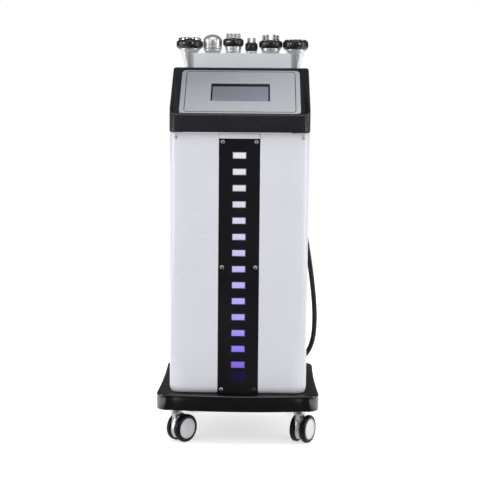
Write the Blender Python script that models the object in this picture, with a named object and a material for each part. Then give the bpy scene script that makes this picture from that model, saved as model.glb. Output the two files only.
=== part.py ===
"""A cavitation slimming machine.

A white tower stands on a black base with four twin-wheel casters. A sloping console sits on the tower, and six
handpieces stand in a rack behind it. The ribbed lead of the outer right handpiece hangs down behind the tower.
Metres, +Z up, the front faces -Y, and the origin is on the floor under the middle of the base.
"""
import math

import bmesh
import bpy
from mathutils import Matrix, Vector

# Clearances
GAP = 0.0003
OVERRUN = 0.004
RUNNING_GAP = 0.0005
WELD = 0.00001

# Base
BASE_WIDTH = 0.431
BASE_DEPTH = 0.444
BASE_UNDERSIDE = 0.100
BASE_HEIGHT = 0.042
BASE_WALL = 0.004
BASE_LOBE_RADIUS = 0.035
BASE_BULGE = 0.011
BASE_WAIST = 0.003
BASE_EDGE_RADIUS = 0.004
BASE_PLATE_THICKNESS = 0.005
BASE_TOP = BASE_UNDERSIDE + BASE_HEIGHT

# Casters
SWIVEL_X = BASE_WIDTH / 2 - 0.0505
SWIVEL_Y = BASE_DEPTH / 2 - 0.064
TRAIL = 0.022
WHEEL_RADIUS = 0.0375
WHEEL_FACETS = 18
WHEEL_WIDTH = 0.0162
TYRE_ROUND = 0.004
HUB_RADIUS = 0.0268
HUB_DISH = 0.0016
AXLE_RADIUS = 0.004
YOKE_THICKNESS = 0.0124
YOKE_HEAD_RADIUS = 0.017
YOKE_HEAD_HEIGHT = 0.0165
YOKE_TOP = 0.0945
YOKE_BOSS_RADIUS = 0.009
YOKE_NECK = 0.016
YOKE_LEG_RADIUS = 0.0350
KINGPIN_RADIUS = 0.006
MOUNT_FLANGE_RADIUS = 0.030
MOUNT_FLANGE_THICKNESS = 0.003
MOUNT_CUP_RADIUS = 0.019
BRAKE_WIDTH = 0.024
BRAKE_LENGTH = 0.024
BRAKE_THICKNESS = 0.0035
BRAKE_PIN_RADIUS = 0.0016
BRAKE_PIVOT_OUT = 0.0225
BRAKE_PIVOT_HEIGHT = 0.0850
BRAKE_EAR_RADIUS = 0.0040
BRAKE_TILT = math.radians(15)
AXLE_HEIGHT = WHEEL_RADIUS * math.cos(math.pi / WHEEL_FACETS)
# Plan angle of each caster's trail, measured from +X, in degrees
TRAIL_ANGLE = {"front_left": 48.0, "front_right": 61.0, "rear_left": 48.0, "rear_right": 61.0}
BRAKED = ("front_left", "front_right")

# Tower
TOWER_WIDTH = 0.362
TOWER_FRONT = -0.192
TOWER_REAR = 0.135
TOWER_TOP = 0.828
TOWER_WALL = 0.003
TOWER_FRONT_RADIUS = 0.024
TOWER_REAR_RADIUS = 0.016
PILLOW_HEIGHT = 0.020
PILLOW_INSET = 0.009
PANEL_WIDTH = 0.105
PANEL_THICKNESS = 0.0015
PANEL_SEAM = 0.001
REAR_OPENING = 0.300
TOWER_BOTTOM = BASE_TOP + GAP

# Light column in the centre panel
WINDOW_COUNT = 14
WINDOW_WIDTH = 0.036
WINDOW_HEIGHT = 0.018
WINDOW_LOWEST = 0.220
WINDOW_HIGHEST = 0.770
DIFFUSER_WIDTH = 0.052
DIFFUSER_THICKNESS = 0.003
DIFFUSER_MARGIN = 0.020

# Chassis
RAIL_INNER = 0.030
RAIL_OUTER = 0.072
RAIL_DEPTH = 0.012
REAR_RAIL_INNER = 0.130
REAR_RAIL_OUTER = 0.158
SHELF_HALF_WIDTH = 0.158
SHELF_THICKNESS = 0.003
SHELF_HEIGHTS = (0.1423, 0.400, 0.540, 0.700)

# Modules on the shelves
SUPPLY_SIZE = (0.160, 0.180, 0.070)
ULTRASOUND_SIZE = (0.200, 0.170, 0.085)
RADIO_SIZE = (0.180, 0.150, 0.060)
FIN_COUNT = 6
FIN_HEIGHT = 0.020
FIN_THICKNESS = 0.004
MODULE_SETBACK = 0.020

# Rear panel and what it carries
REAR_PANEL_WIDTH = 0.324
REAR_PANEL_BOTTOM = 0.150
REAR_PANEL_TOP = 0.820
REAR_PANEL_THICKNESS = 0.002
REAR_PANEL_CORNER = 0.008
VENT_COUNT = 7
VENT_WIDTH = 0.110
VENT_HEIGHT = 0.006
VENT_PITCH = 0.016
VENT_HEIGHT_ABOVE_FLOOR = 0.745
FAN_SIZE = 0.080
FAN_DEPTH = 0.025
FAN_BORE = 0.0365
FAN_HUB = 0.016
FAN_HEIGHT = 0.610
FAN_SLOT_COUNT = 7
FAN_SLOT_HEIGHT = 0.006
FAN_BLADE_COUNT = 7
FAN_BLADE_THICKNESS = 0.002
FAN_SHAFT_RADIUS = 0.003
FAN_STRUT = 0.006
SOCKET_SPACING = 0.070
SOCKET_ROWS = (0.300, 0.370)
SOCKET_BARREL_RADIUS = 0.012
SOCKET_PROUD = 0.003
SOCKET_PLATE = 0.004
SOCKET_MARGIN = 0.006
SOCKET_BORE = 0.0080
SOCKET_BORE_DEPTH = 0.013
INLET_WIDTH = 0.030
INLET_HEIGHT = 0.062
INLET_DEPTH = 0.028
INLET_FLANGE = 0.006
INLET_PROUD = 0.003
INLET_X = -0.095
INLET_CENTRE = 0.215
INLET_RECESS_WIDTH = 0.022
INLET_RECESS_HEIGHT = 0.016
INLET_RECESS_DEPTH = 0.018
ROCKER_WIDTH = 0.019
ROCKER_HEIGHT = 0.013
ROCKER_DEPTH = 0.010
ROCKER_PROUD = 0.0015
ROCKER_ROOT_DEPTH_SHARE = 0.7
ROCKER_ROOT_HEIGHT_SHARE = 0.6
ROCKER_EDGE_SHARE = 0.92
ROCKER_TILT = math.radians(-7)

# Console
CONSOLE_WIDTH = 0.365
CONSOLE_FRONT = -0.205
CONSOLE_REAR = 0.140
CONSOLE_BOTTOM = TOWER_TOP + GAP
CONSOLE_SKIRT = 0.046
CONSOLE_RUN = 0.155
CONSOLE_RISE = 0.129
CONSOLE_RIDGE = 0.014
CONSOLE_BACK = 0.102
CONSOLE_WALL = 0.004
CONSOLE_EDGE_RADIUS = 0.009
FASCIA_WIDTH = 0.316
FASCIA_LENGTH = 0.184
FASCIA_THICKNESS = 0.0022
FASCIA_CORNER = 0.014
FASCIA_FROM_SKIRT = 0.0045
WINDOW_SCREEN_WIDTH = 0.155
WINDOW_SCREEN_LENGTH = 0.076
SCREEN_FROM_SKIRT = 0.094
SCREEN_MARGIN = 0.005
GLASS_THICKNESS = 0.0015
MODULE_THICKNESS = 0.010
CONTROL_BOARD_THICKNESS = 0.002
CONTROL_BOARD_GAP = 0.006
SPACER_RADIUS = 0.003

# Rack
RACK_HALF_WIDTH = 0.1405
RACK_CORNER = 0.007
RACK_RETURN = 0.015
RACK_SHEET = 0.002
RACK_BOTTOM = 0.850
RACK_TOP = 1.0555
RACK_SHELF_TOP = 1.012
RACK_SHELF_HALF_WIDTH = 0.184
RACK_SHELF_REAR = 0.214
RACK_FLANGE_HALF_WIDTH = 0.120
RACK_FLANGE_DROP = 0.040
LINER_FLANGE_RADIUS = 0.0175
LINER_FLANGE_THICKNESS = 0.002
LINER_RADIUS = 0.0150
LINER_BORE = 0.0128

# Handpieces
HANDPIECE_Y = 0.180
HANDPIECE_X = (-0.1535, -0.087, -0.027, 0.0255, 0.0815, 0.1535)
HANDLE_BOTTOM = 0.885
HANDLE_WAIST_RADIUS = 0.0112
HANDLE_TAIL_RADIUS = 0.0095
HANDLE_TAIL_LENGTH = 0.012
CONE_TOP = 1.056
# Each head: its radii where the cone ends, under the collar and at the collar, how far the collar starts
# above the cone, and how tall it is
LEFT_HEAD = {"cone": 0.0235, "neck": 0.0288, "radius": 0.0385, "rise": 0.0140, "tall": 0.0225}
DOME_HEAD = {"cone": 0.0215, "neck": 0.0262, "radius": 0.0272, "rise": 0.0135, "tall": 0.0420}
ROW_HEAD = {"cone": 0.0195, "neck": 0.0228, "radius": 0.0299, "rise": 0.0205, "tall": 0.0215}
PAIR_HEAD = {"cone": 0.0155, "neck": 0.0165, "radius": 0.0182, "rise": 0.0080, "tall": 0.0225}
RING_HEAD = {"cone": 0.0240, "neck": 0.0285, "radius": 0.0340, "rise": 0.0155, "tall": 0.0215}
RIGHT_HEAD = {"cone": 0.0235, "neck": 0.0288, "radius": 0.0372, "rise": 0.0130, "tall": 0.0245}
LEFT_PLATE_RADIUS = 0.0330
LEFT_PLATE_HEIGHT = 0.0080
RIGHT_PLATE_RADIUS = 0.0325
RIGHT_PLATE_HEIGHT = 0.0030
COLLAR_TOP_SHARE = 0.86
COLLAR_BOTTOM_SHARE = 0.78
COLLAR_WAIST_LOW_SHARE = 0.42
COLLAR_WAIST_HIGH_SHARE = 0.70
DOME_SEAM_HEIGHT = 0.0075
ROD_CARRIER = 0.0015
ROD_RADIUS = 0.0045
ROW_ROD_COUNT = 4
ROW_ROD_PITCH = 0.0106
ROW_ROD_HEIGHT = 0.0165
PAIR_ROD_RADIUS = 0.0040
PAIR_ROD_PITCH = 0.0158
PAIR_ROD_HEIGHT = 0.0160
RING_ROD_COUNT = 6
RING_RADIUS = 0.0200
RING_ROD_HEIGHT = 0.0175

# Ribbed lead of the outer right handpiece, with its gland and its angled connector
LEAD_RADIUS = 0.0080
LEAD_VALLEY_SHARE = 0.80
LEAD_BORE_RADIUS = 0.0040
LEAD_RIB_COUNT = 100
LEAD_BORE_POINTS = 44
GLAND_LENGTH = 0.020
CONNECTOR_PLUG_RADIUS = SOCKET_BORE - GAP
CONNECTOR_PLUG_LENGTH = 0.010
CONNECTOR_ELBOW_RADIUS = 0.0110
CONNECTOR_OUT = 0.0130
CONNECTOR_DROP = 0.030
LEAD_START = (0.1535, 0.1800, 0.8647)
LEAD_ROUTE = (
    (0.1535, 0.1800, 0.8487), (0.1540, 0.1804, 0.8150), (0.1562, 0.1820, 0.7500), (0.1610, 0.1850, 0.6850),
    (0.1690, 0.1885, 0.6250), (0.1800, 0.1915, 0.5700), (0.1925, 0.1940, 0.5150), (0.2030, 0.1955, 0.4550),
    (0.2125, 0.1965, 0.3900), (0.2195, 0.1970, 0.3250), (0.2215, 0.1970, 0.2700), (0.2170, 0.1965, 0.2170),
    (0.2030, 0.1950, 0.1790), (0.1800, 0.1925, 0.1570), (0.1540, 0.1890, 0.1506), (0.1260, 0.1830, 0.1515),
    (0.1010, 0.1755, 0.1610), (0.0825, 0.1680, 0.1820), (0.0728, 0.1618, 0.2080), (0.0702, 0.1594, 0.2330),
)
LEAD_END_RUN = 0.016

# Facets round the turned pieces
FACETS_LARGE = 20
FACETS_MEDIUM = 12
FACETS_SMALL = 10
FACETS_SOCKET = 8
SOCKET_PHASE = math.pi / FACETS_SOCKET
SMOOTH_ANGLE = math.radians(35)


def material(name, colour, roughness, metallic=0.0):
    """Returns the named Principled material, made at its first use."""
    found = bpy.data.materials.get(name)
    if found:
        return found
    made = bpy.data.materials.new(name)
    made.use_nodes = True
    shader = made.node_tree.nodes["Principled BSDF"]
    shader.inputs["Base Color"].default_value = (*colour, 1.0)
    shader.inputs["Roughness"].default_value = roughness
    shader.inputs["Metallic"].default_value = metallic
    return made


def black_plastic():
    return material("black_plastic", (0.012, 0.012, 0.014), 0.35)


def white_paint():
    return material("white_paint", (0.80, 0.80, 0.84), 0.25)


def grey_paint():
    return material("grey_paint", (0.55, 0.57, 0.60), 0.40)


def black_panel():
    return material("black_panel", (0.008, 0.008, 0.010), 0.12)


def rubber():
    return material("rubber", (0.02, 0.02, 0.02), 0.75)


def zinc():
    return material("zinc", (0.60, 0.60, 0.62), 0.35, 1.0)


def chrome():
    return material("chrome", (0.85, 0.85, 0.86), 0.08, 1.0)


def brushed():
    return material("brushed_aluminium", (0.72, 0.72, 0.74), 0.30, 1.0)


def display_grey():
    return material("display", (0.20, 0.20, 0.26), 0.20)


def light_lilac():
    return material("light_diffuser", (0.55, 0.50, 0.80), 0.45)


def board_green():
    return material("circuit_board", (0.02, 0.16, 0.07), 0.50)


def hub_grey():
    return material("hub_grey", (0.62, 0.63, 0.65), 0.40)


def clear_scene():
    for old in list(bpy.data.objects):
        bpy.data.objects.remove(old, do_unlink=True)


def place(name, mesh, look=None, location=(0, 0, 0), parent=None):
    """Puts a mesh into the scene as a named object."""
    obj = bpy.data.objects.new(name, mesh)
    bpy.context.scene.collection.objects.link(obj)
    if look:
        mesh.materials.append(look)
    obj.location = location
    obj.parent = parent
    return obj


def pivot(name, location, parent=None, turn=0.0):
    """An empty on a joint's axis, turned about +Z."""
    empty = bpy.data.objects.new(name, None)
    bpy.context.scene.collection.objects.link(empty)
    empty.location = location
    empty.rotation_euler = (0, 0, turn)
    empty.parent = parent
    return empty


def finish_mesh(name, bm):
    bmesh.ops.recalc_face_normals(bm, faces=bm.faces)
    mesh = bpy.data.meshes.new(name)
    bm.to_mesh(mesh)
    bm.free()
    mesh.shade_smooth()
    mesh.set_sharp_from_angle(angle=SMOOTH_ANGLE)
    return mesh


def add_loft(bm, rings):
    """Adds a closed body whose rings have the same number of points; the end rings are capped."""
    loops = [[bm.verts.new(point) for point in ring] for ring in rings]
    for low, high in zip(loops, loops[1:]):
        count = len(low)
        for i in range(count):
            bm.faces.new((low[i], low[(i + 1) % count], high[(i + 1) % count], high[i]))
    bm.faces.new(loops[0])
    bm.faces.new(loops[-1])


def loft_mesh(name, rings):
    bm = bmesh.new()
    add_loft(bm, rings)
    return finish_mesh(name, bm)


def add_box(bm, low, high):
    (x0, y0, z0), (x1, y1, z1) = low, high
    floor = [(x0, y0), (x1, y0), (x1, y1), (x0, y1)]
    add_loft(bm, [[(x, y, z0) for x, y in floor], [(x, y, z1) for x, y in floor]])


def box_mesh(name, low, high):
    bm = bmesh.new()
    add_box(bm, low, high)
    return finish_mesh(name, bm)


def add_turned(bm, profile, facets, frame=Matrix.Identity(4), phase=0.0):
    """Adds a body turned about local Z from (radius, height) points; a zero radius closes it at a pole."""
    rings = []
    for radius, height in profile:
        if radius == 0:
            rings.append([bm.verts.new(frame @ Vector((0, 0, height)))])
            continue
        turns = [2 * math.pi * i / facets + phase for i in range(facets)]
        rings.append([bm.verts.new(frame @ Vector((radius * math.cos(a), radius * math.sin(a), height)))
                      for a in turns])
    closed = profile[0][0] != 0
    pairs = list(zip(rings, rings[1:]))
    if closed:
        pairs.append((rings[-1], rings[0]))
    for low, high in pairs:
        for i in range(facets):
            j = (i + 1) % facets
            corners = [low[i % len(low)], low[j % len(low)], high[j % len(high)], high[i % len(high)]]
            unique = list(dict.fromkeys(corners))
            if len(unique) > 2:
                bm.faces.new(unique)


def turned_mesh(name, profile, facets, frame=Matrix.Identity(4), phase=0.0):
    bm = bmesh.new()
    add_turned(bm, profile, facets, frame, phase)
    return finish_mesh(name, bm)


def rounded_rectangle(width, height, radius, steps=4):
    """Corner points of a rectangle with round corners, anticlockwise, centred on zero."""
    points = []
    corners = ((1, 1), (-1, 1), (-1, -1), (1, -1))
    for quarter, (sx, sy) in enumerate(corners):
        cx, cy = sx * (width / 2 - radius), sy * (height / 2 - radius)
        for i in range(steps + 1):
            angle = math.pi / 2 * (quarter + i / steps)
            points.append((cx + radius * math.cos(angle), cy + radius * math.sin(angle)))
    return points


def inset_polygon(points, distance):
    """Moves each side of a convex anticlockwise outline inwards by the same distance."""
    moved = []
    count = len(points)
    for i in range(count):
        a, b, c = (Vector(points[(i + k - 1) % count]) for k in range(3))
        first, second = (b - a).normalized(), (c - b).normalized()
        normal_a, normal_b = Vector((-first.y, first.x)), Vector((-second.y, second.x))
        bisector = (normal_a + normal_b).normalized()
        moved.append(tuple(b + bisector * (distance / bisector.dot(normal_a))))
    return moved


def hide_cutter(cutter):
    cutter.hide_render = True
    cutter.display_type = 'WIRE'


def combine(obj, tool, operation):
    """Adds an exact Boolean between an object and a hidden tool object."""
    hide_cutter(tool)
    step = obj.modifiers.new(operation.lower() + "_" + tool.name, 'BOOLEAN')
    step.operation = operation
    step.solver = 'EXACT'
    step.object = tool


def cut(obj, mesh, parent=None, location=(0, 0, 0)):
    combine(obj, place("cutter_" + mesh.name, mesh, None, location, parent), 'DIFFERENCE')


def join(obj, mesh, parent=None):
    combine(obj, place("added_" + mesh.name, mesh, None, (0, 0, 0), parent), 'UNION')


def along_y(x, y, z):
    """Frame whose local Z runs along +Y from the point given."""
    return Matrix.Translation((x, y, z)) @ Matrix.Rotation(-math.pi / 2, 4, 'X')


def along_minus_y(x, y, z):
    return Matrix.Translation((x, y, z)) @ Matrix.Rotation(math.pi / 2, 4, 'X')


# Base


def base_outline(inset):
    """Plan of the base: round corner lobes, a bulging front and back, and slightly waisted sides."""
    half_width = BASE_WIDTH / 2 - inset
    half_depth = BASE_DEPTH / 2 - inset
    radius = BASE_LOBE_RADIUS - inset
    lobe_x, lobe_y = half_width - radius, half_depth - BASE_BULGE - radius
    reach = lobe_x - radius / 2
    dip = BASE_BULGE * 1.15
    front = [(reach * i / 5, -half_depth + BASE_BULGE * (i / 5) ** 2) for i in range(6)]
    front.append((lobe_x - radius / 5, -half_depth + dip))
    lobe = [(lobe_x + radius * math.cos(a), -lobe_y + radius * math.sin(a))
            for a in (math.radians(-80 + 20 * i) for i in range(5))]
    side = [(half_width - BASE_WAIST, -half_depth / 3)]
    quarter = front + lobe + side
    right = quarter + [(x, -y) for x, y in reversed(quarter)]
    left = [(-x, y) for x, y in reversed(right) if x != 0]
    return right + left


def make_base():
    def ring(inset, height):
        return [(x, y, height) for x, y in base_outline(inset)]

    inner_top = BASE_TOP - BASE_WALL
    rings = [
        ring(BASE_WALL, inner_top), ring(BASE_WALL, BASE_UNDERSIDE), ring(0, BASE_UNDERSIDE),
        ring(0, BASE_TOP - BASE_EDGE_RADIUS), ring(BASE_EDGE_RADIUS / 4, BASE_TOP - BASE_EDGE_RADIUS / 4),
        ring(BASE_EDGE_RADIUS, BASE_TOP),
    ]
    place("base_shell", loft_mesh("base_shell", rings), black_plastic())
    plate_top = inner_top - GAP
    plate_inset = BASE_WALL + GAP
    plate = [ring(plate_inset, plate_top - BASE_PLATE_THICKNESS), ring(plate_inset, plate_top)]
    place("base_plate", loft_mesh("base_plate", plate), zinc())
    return plate_top - BASE_PLATE_THICKNESS


# Casters


def swivel_points():
    return {
        "front_left": (-SWIVEL_X, -SWIVEL_Y), "front_right": (SWIVEL_X, -SWIVEL_Y),
        "rear_left": (-SWIVEL_X, SWIVEL_Y), "rear_right": (SWIVEL_X, SWIVEL_Y),
    }


def make_mounts(plate_underside):
    """The fixed half of each caster: a flange, a bearing cup and the kingpin."""
    top = plate_underside - GAP
    cup_bottom = YOKE_TOP + RUNNING_GAP
    pin_bottom = YOKE_TOP - YOKE_HEAD_HEIGHT * 0.7
    profile = [
        (0, pin_bottom), (KINGPIN_RADIUS, pin_bottom), (KINGPIN_RADIUS, cup_bottom), (MOUNT_CUP_RADIUS, cup_bottom),
        (MOUNT_CUP_RADIUS, top - MOUNT_FLANGE_THICKNESS), (MOUNT_FLANGE_RADIUS, top - MOUNT_FLANGE_THICKNESS),
        (MOUNT_FLANGE_RADIUS, top), (0, top),
    ]
    for corner, (x, y) in swivel_points().items():
        name = "caster_%s_mount" % corner
        place(name, turned_mesh(name, profile, FACETS_MEDIUM), zinc(), (x, y, 0))


def yoke_outline():
    """Side view of the leg between the wheels, as (distance along the trail, height)."""
    points = []
    for i in range(6):
        angle = math.radians(220 + 32 * i)
        points.append((TRAIL + YOKE_BOSS_RADIUS * math.cos(angle), AXLE_HEIGHT + YOKE_BOSS_RADIUS * math.sin(angle)))
    shoulder = YOKE_TOP - YOKE_HEAD_HEIGHT + GAP * 4
    points.append((YOKE_NECK + YOKE_BOSS_RADIUS / 2, shoulder))
    points.append((-YOKE_NECK * 0.7, shoulder))
    for i in range(8):
        angle = math.radians(143 + 10 * i)
        points.append((TRAIL + YOKE_LEG_RADIUS * math.cos(angle), AXLE_HEIGHT + YOKE_LEG_RADIUS * math.sin(angle)))
    return points


def make_yoke(name, swivel, braked):
    half = YOKE_THICKNESS / 2
    leg = [[(u, side, z) for u, z in yoke_outline()] for side in (-half, half)]
    yoke = place(name + "_yoke", loft_mesh(name + "_yoke", leg), zinc(), (0, 0, 0), swivel)
    bottom = YOKE_TOP - YOKE_HEAD_HEIGHT
    bore = KINGPIN_RADIUS + RUNNING_GAP
    floor = YOKE_TOP - YOKE_HEAD_HEIGHT * 0.7 - RUNNING_GAP
    head = [
        (0, bottom), (YOKE_HEAD_RADIUS * 0.8, bottom), (YOKE_HEAD_RADIUS, bottom + YOKE_HEAD_HEIGHT / 3),
        (YOKE_HEAD_RADIUS, YOKE_TOP), (bore, YOKE_TOP), (bore, floor), (0, floor),
    ]
    join(yoke, turned_mesh(name + "_head", head, FACETS_MEDIUM), swivel)
    if braked:
        ear_x, ear_z = BRAKE_PIVOT_OUT, BRAKE_PIVOT_HEIGHT
        ear_half = YOKE_THICKNESS / 4
        ear = [[(x, side, z) for x, z in (
            (YOKE_HEAD_RADIUS * 0.6, ear_z - BRAKE_EAR_RADIUS), (ear_x, ear_z - BRAKE_EAR_RADIUS),
            (ear_x + BRAKE_EAR_RADIUS, ear_z), (ear_x, ear_z + BRAKE_EAR_RADIUS),
            (YOKE_HEAD_RADIUS * 0.6, ear_z + BRAKE_EAR_RADIUS))] for side in (-ear_half, ear_half)]
        join(yoke, loft_mesh(name + "_ear", ear), swivel)
        hole = BRAKE_PIN_RADIUS + GAP
        reach = YOKE_THICKNESS
        pin_hole = [(0, -reach), (hole, -reach), (hole, reach), (0, reach)]
        cut(yoke, turned_mesh(name + "_pin_hole", pin_hole, FACETS_SMALL, along_y(ear_x, 0, ear_z)), swivel)
    reach = half + WHEEL_WIDTH * 0.7
    axle = [(0, -reach), (AXLE_RADIUS, -reach), (AXLE_RADIUS, reach), (0, reach)]
    join(yoke, turned_mesh(name + "_axle", axle, FACETS_SMALL, along_y(TRAIL, 0, AXLE_HEIGHT)), swivel)


def wheel_profile():
    """Half section of one wheel, from its inner face at height zero to the dished hub outside."""
    width, hub = WHEEL_WIDTH, HUB_RADIUS
    bore, depth = AXLE_RADIUS + GAP, WHEEL_WIDTH * 0.7 + GAP
    return [
        (0, depth), (bore, depth), (bore, 0), (WHEEL_RADIUS - TYRE_ROUND, 0), (WHEEL_RADIUS, TYRE_ROUND),
        (WHEEL_RADIUS, width - TYRE_ROUND), (WHEEL_RADIUS - TYRE_ROUND, width), (hub, width),
        (hub - HUB_DISH, width - HUB_DISH), (hub / 3, width - HUB_DISH / 2), (0, width - HUB_DISH / 2),
    ]


def make_wheels(name, swivel):
    turn = math.pi / WHEEL_FACETS + math.pi / 2
    offset = YOKE_THICKNESS / 2 + RUNNING_GAP
    for side, frame in (("left", along_y(0, offset, 0)), ("right", along_minus_y(0, -offset, 0))):
        label = name + "_wheel_" + side
        mesh = turned_mesh(label, wheel_profile(), WHEEL_FACETS, frame, turn)
        mesh.materials.append(rubber())
        mesh.materials.append(hub_grey())
        for face in mesh.polygons:
            spread = Vector((face.center.x, 0, face.center.z)).length
            face.material_index = 1 if spread < HUB_RADIUS and abs(face.normal.y) > 0.5 else 0
        place(label, mesh, None, (TRAIL, 0, AXLE_HEIGHT), swivel)


def make_brake(name, swivel):
    """The pedal: a slotted tab on a pin through the yoke's ear; its origin is on the pin."""
    slot_half = YOKE_THICKNESS / 4 + GAP
    half_width, half_thick = BRAKE_WIDTH / 2, BRAKE_THICKNESS / 2
    start = -BRAKE_EAR_RADIUS
    slot_end = BRAKE_EAR_RADIUS + RUNNING_GAP
    plan = [
        (start, -half_width), (BRAKE_LENGTH, -half_width * 0.8), (BRAKE_LENGTH, half_width * 0.8),
        (start, half_width), (start, slot_half), (slot_end, slot_half), (slot_end, -slot_half), (start, -slot_half),
    ]
    rings = [[(x, y, z) for x, y in plan] for z in (-half_thick, half_thick)]
    location = (BRAKE_PIVOT_OUT, 0, BRAKE_PIVOT_HEIGHT)
    label = name + "_brake"
    brake = place(label, loft_mesh(label, rings), zinc(), location, swivel)
    brake.rotation_euler = (0, BRAKE_TILT, 0)
    reach = half_width * 0.6
    pin = [(0, -reach), (BRAKE_PIN_RADIUS, -reach), (BRAKE_PIN_RADIUS, reach), (0, reach)]
    join(brake, turned_mesh(name + "_brake_pin", pin, FACETS_SMALL, along_y(*location)), swivel)


def make_casters():
    for corner, (x, y) in swivel_points().items():
        name = "caster_" + corner
        swivel = pivot(name + "_swivel", (x, y, 0), None, math.radians(TRAIL_ANGLE[corner]))
        make_yoke(name, swivel, corner in BRAKED)
        make_wheels(name, swivel)
        if corner in BRAKED:
            make_brake(name, swivel)


# Tower


def cover_path(inset):
    """Open plan path of the right cover's face, from the front seam round to the rear flange."""
    x_side = TOWER_WIDTH / 2 - inset
    y_front, y_rear = TOWER_FRONT + inset, TOWER_REAR - inset
    front_radius, rear_radius = TOWER_FRONT_RADIUS - inset, TOWER_REAR_RADIUS - inset
    points = [(PANEL_WIDTH / 2 + PANEL_SEAM, y_front)]
    for i in range(7):
        angle = math.radians(-90 + 15 * i)
        points.append((x_side - front_radius + front_radius * math.cos(angle),
                       y_front + front_radius + front_radius * math.sin(angle)))
    for i in range(4):
        angle = math.radians(30 * i)
        points.append((x_side - rear_radius + rear_radius * math.cos(angle),
                       y_rear - rear_radius + rear_radius * math.sin(angle)))
    points.append((REAR_OPENING / 2, y_rear))
    return points


def cover_ring(inset, height, sign):
    outer, inner = cover_path(inset), cover_path(inset + TOWER_WALL)
    return [(sign * x, y, height) for x, y in outer + list(reversed(inner))]


def make_covers():
    """The two white side covers, each with its half of the front and its pillowed bottom edge."""
    levels = [
        (PILLOW_INSET, TOWER_BOTTOM), (PILLOW_INSET * 0.45, TOWER_BOTTOM + PILLOW_HEIGHT * 0.16),
        (PILLOW_INSET * 0.14, TOWER_BOTTOM + PILLOW_HEIGHT * 0.45), (0, TOWER_BOTTOM + PILLOW_HEIGHT), (0, TOWER_TOP),
    ]
    for side, sign in (("left", -1), ("right", 1)):
        label = "tower_cover_" + side
        bm = bmesh.new()
        loops = [[bm.verts.new(p) for p in cover_ring(inset, height, sign)] for inset, height in levels]
        count = len(loops[0])
        for low, high in zip(loops, loops[1:]):
            for i in range(count):
                bm.faces.new((low[i], low[(i + 1) % count], high[(i + 1) % count], high[i]))
        for loop in (loops[0], loops[-1]):
            for i in range(count // 2 - 1):
                bm.faces.new((loop[i], loop[i + 1], loop[count - 2 - i], loop[count - 1 - i]))
        place(label, finish_mesh(label, bm), white_paint())


def panel_front():
    return TOWER_FRONT + TOWER_WALL - PANEL_THICKNESS


def window_heights():
    step = (WINDOW_HIGHEST - WINDOW_LOWEST) / (WINDOW_COUNT - 1)
    return [WINDOW_LOWEST + step * i for i in range(WINDOW_COUNT)]


def make_centre_panel():
    front = panel_front()
    back = front + PANEL_THICKNESS
    half = PANEL_WIDTH / 2
    panel = place("centre_panel", box_mesh("centre_panel", (-half, front, TOWER_BOTTOM), (half, back, TOWER_TOP)),
                  black_panel())
    windows = bmesh.new()
    for z in window_heights():
        add_box(windows, (-WINDOW_WIDTH / 2, front - OVERRUN, z - WINDOW_HEIGHT / 2),
                (WINDOW_WIDTH / 2, back + OVERRUN, z + WINDOW_HEIGHT / 2))
    cut(panel, finish_mesh("panel_windows", windows))
    low, high = WINDOW_LOWEST - DIFFUSER_MARGIN, WINDOW_HIGHEST + DIFFUSER_MARGIN
    diffuser_front = back + GAP
    diffuser_back = diffuser_front + DIFFUSER_THICKNESS
    half = DIFFUSER_WIDTH / 2
    place("light_diffuser", box_mesh("light_diffuser", (-half, diffuser_front, low), (half, diffuser_back, high)),
          light_lilac())


def make_chassis():
    """The welded frame inside the tower: two front rails, two rear rails and four shelves."""
    front = TOWER_FRONT + TOWER_WALL + GAP
    rear = TOWER_REAR - TOWER_WALL - GAP
    top = TOWER_TOP
    foot_rear = rear - PILLOW_INSET - GAP
    bottom = SHELF_HEIGHTS[0]
    frame = place("chassis", box_mesh("chassis", (-SHELF_HALF_WIDTH, front + RAIL_DEPTH, bottom),
                                      (SHELF_HALF_WIDTH, foot_rear, bottom + SHELF_THICKNESS)), zinc())
    for i, height in enumerate(SHELF_HEIGHTS[1:]):
        join(frame, box_mesh("shelf_%d" % i, (-SHELF_HALF_WIDTH, front + RAIL_DEPTH * 0.9, height),
                             (SHELF_HALF_WIDTH, rear - GAP, height + SHELF_THICKNESS)))
    for sign, side in ((-1, "left"), (1, "right")):
        inner, outer = sorted((sign * RAIL_INNER, sign * RAIL_OUTER))
        low = bottom + PILLOW_HEIGHT
        join(frame, box_mesh("front_rail_" + side, (inner, front, low), (outer, front + RAIL_DEPTH, top)))
        foot = (inner, front + RAIL_DEPTH * 0.8, bottom)
        join(frame, box_mesh("front_foot_" + side, foot, (outer, front + RAIL_DEPTH * 1.4, low + RAIL_DEPTH)))
        inner, outer = sorted((sign * REAR_RAIL_INNER, sign * REAR_RAIL_OUTER))
        join(frame, box_mesh("rear_rail_" + side, (inner, rear - RAIL_DEPTH, low), (outer, rear, top)))
        join(frame, box_mesh("rear_foot_" + side, (inner, rear - RAIL_DEPTH * 2, bottom),
                             (outer, foot_rear, low + RAIL_DEPTH)))


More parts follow.
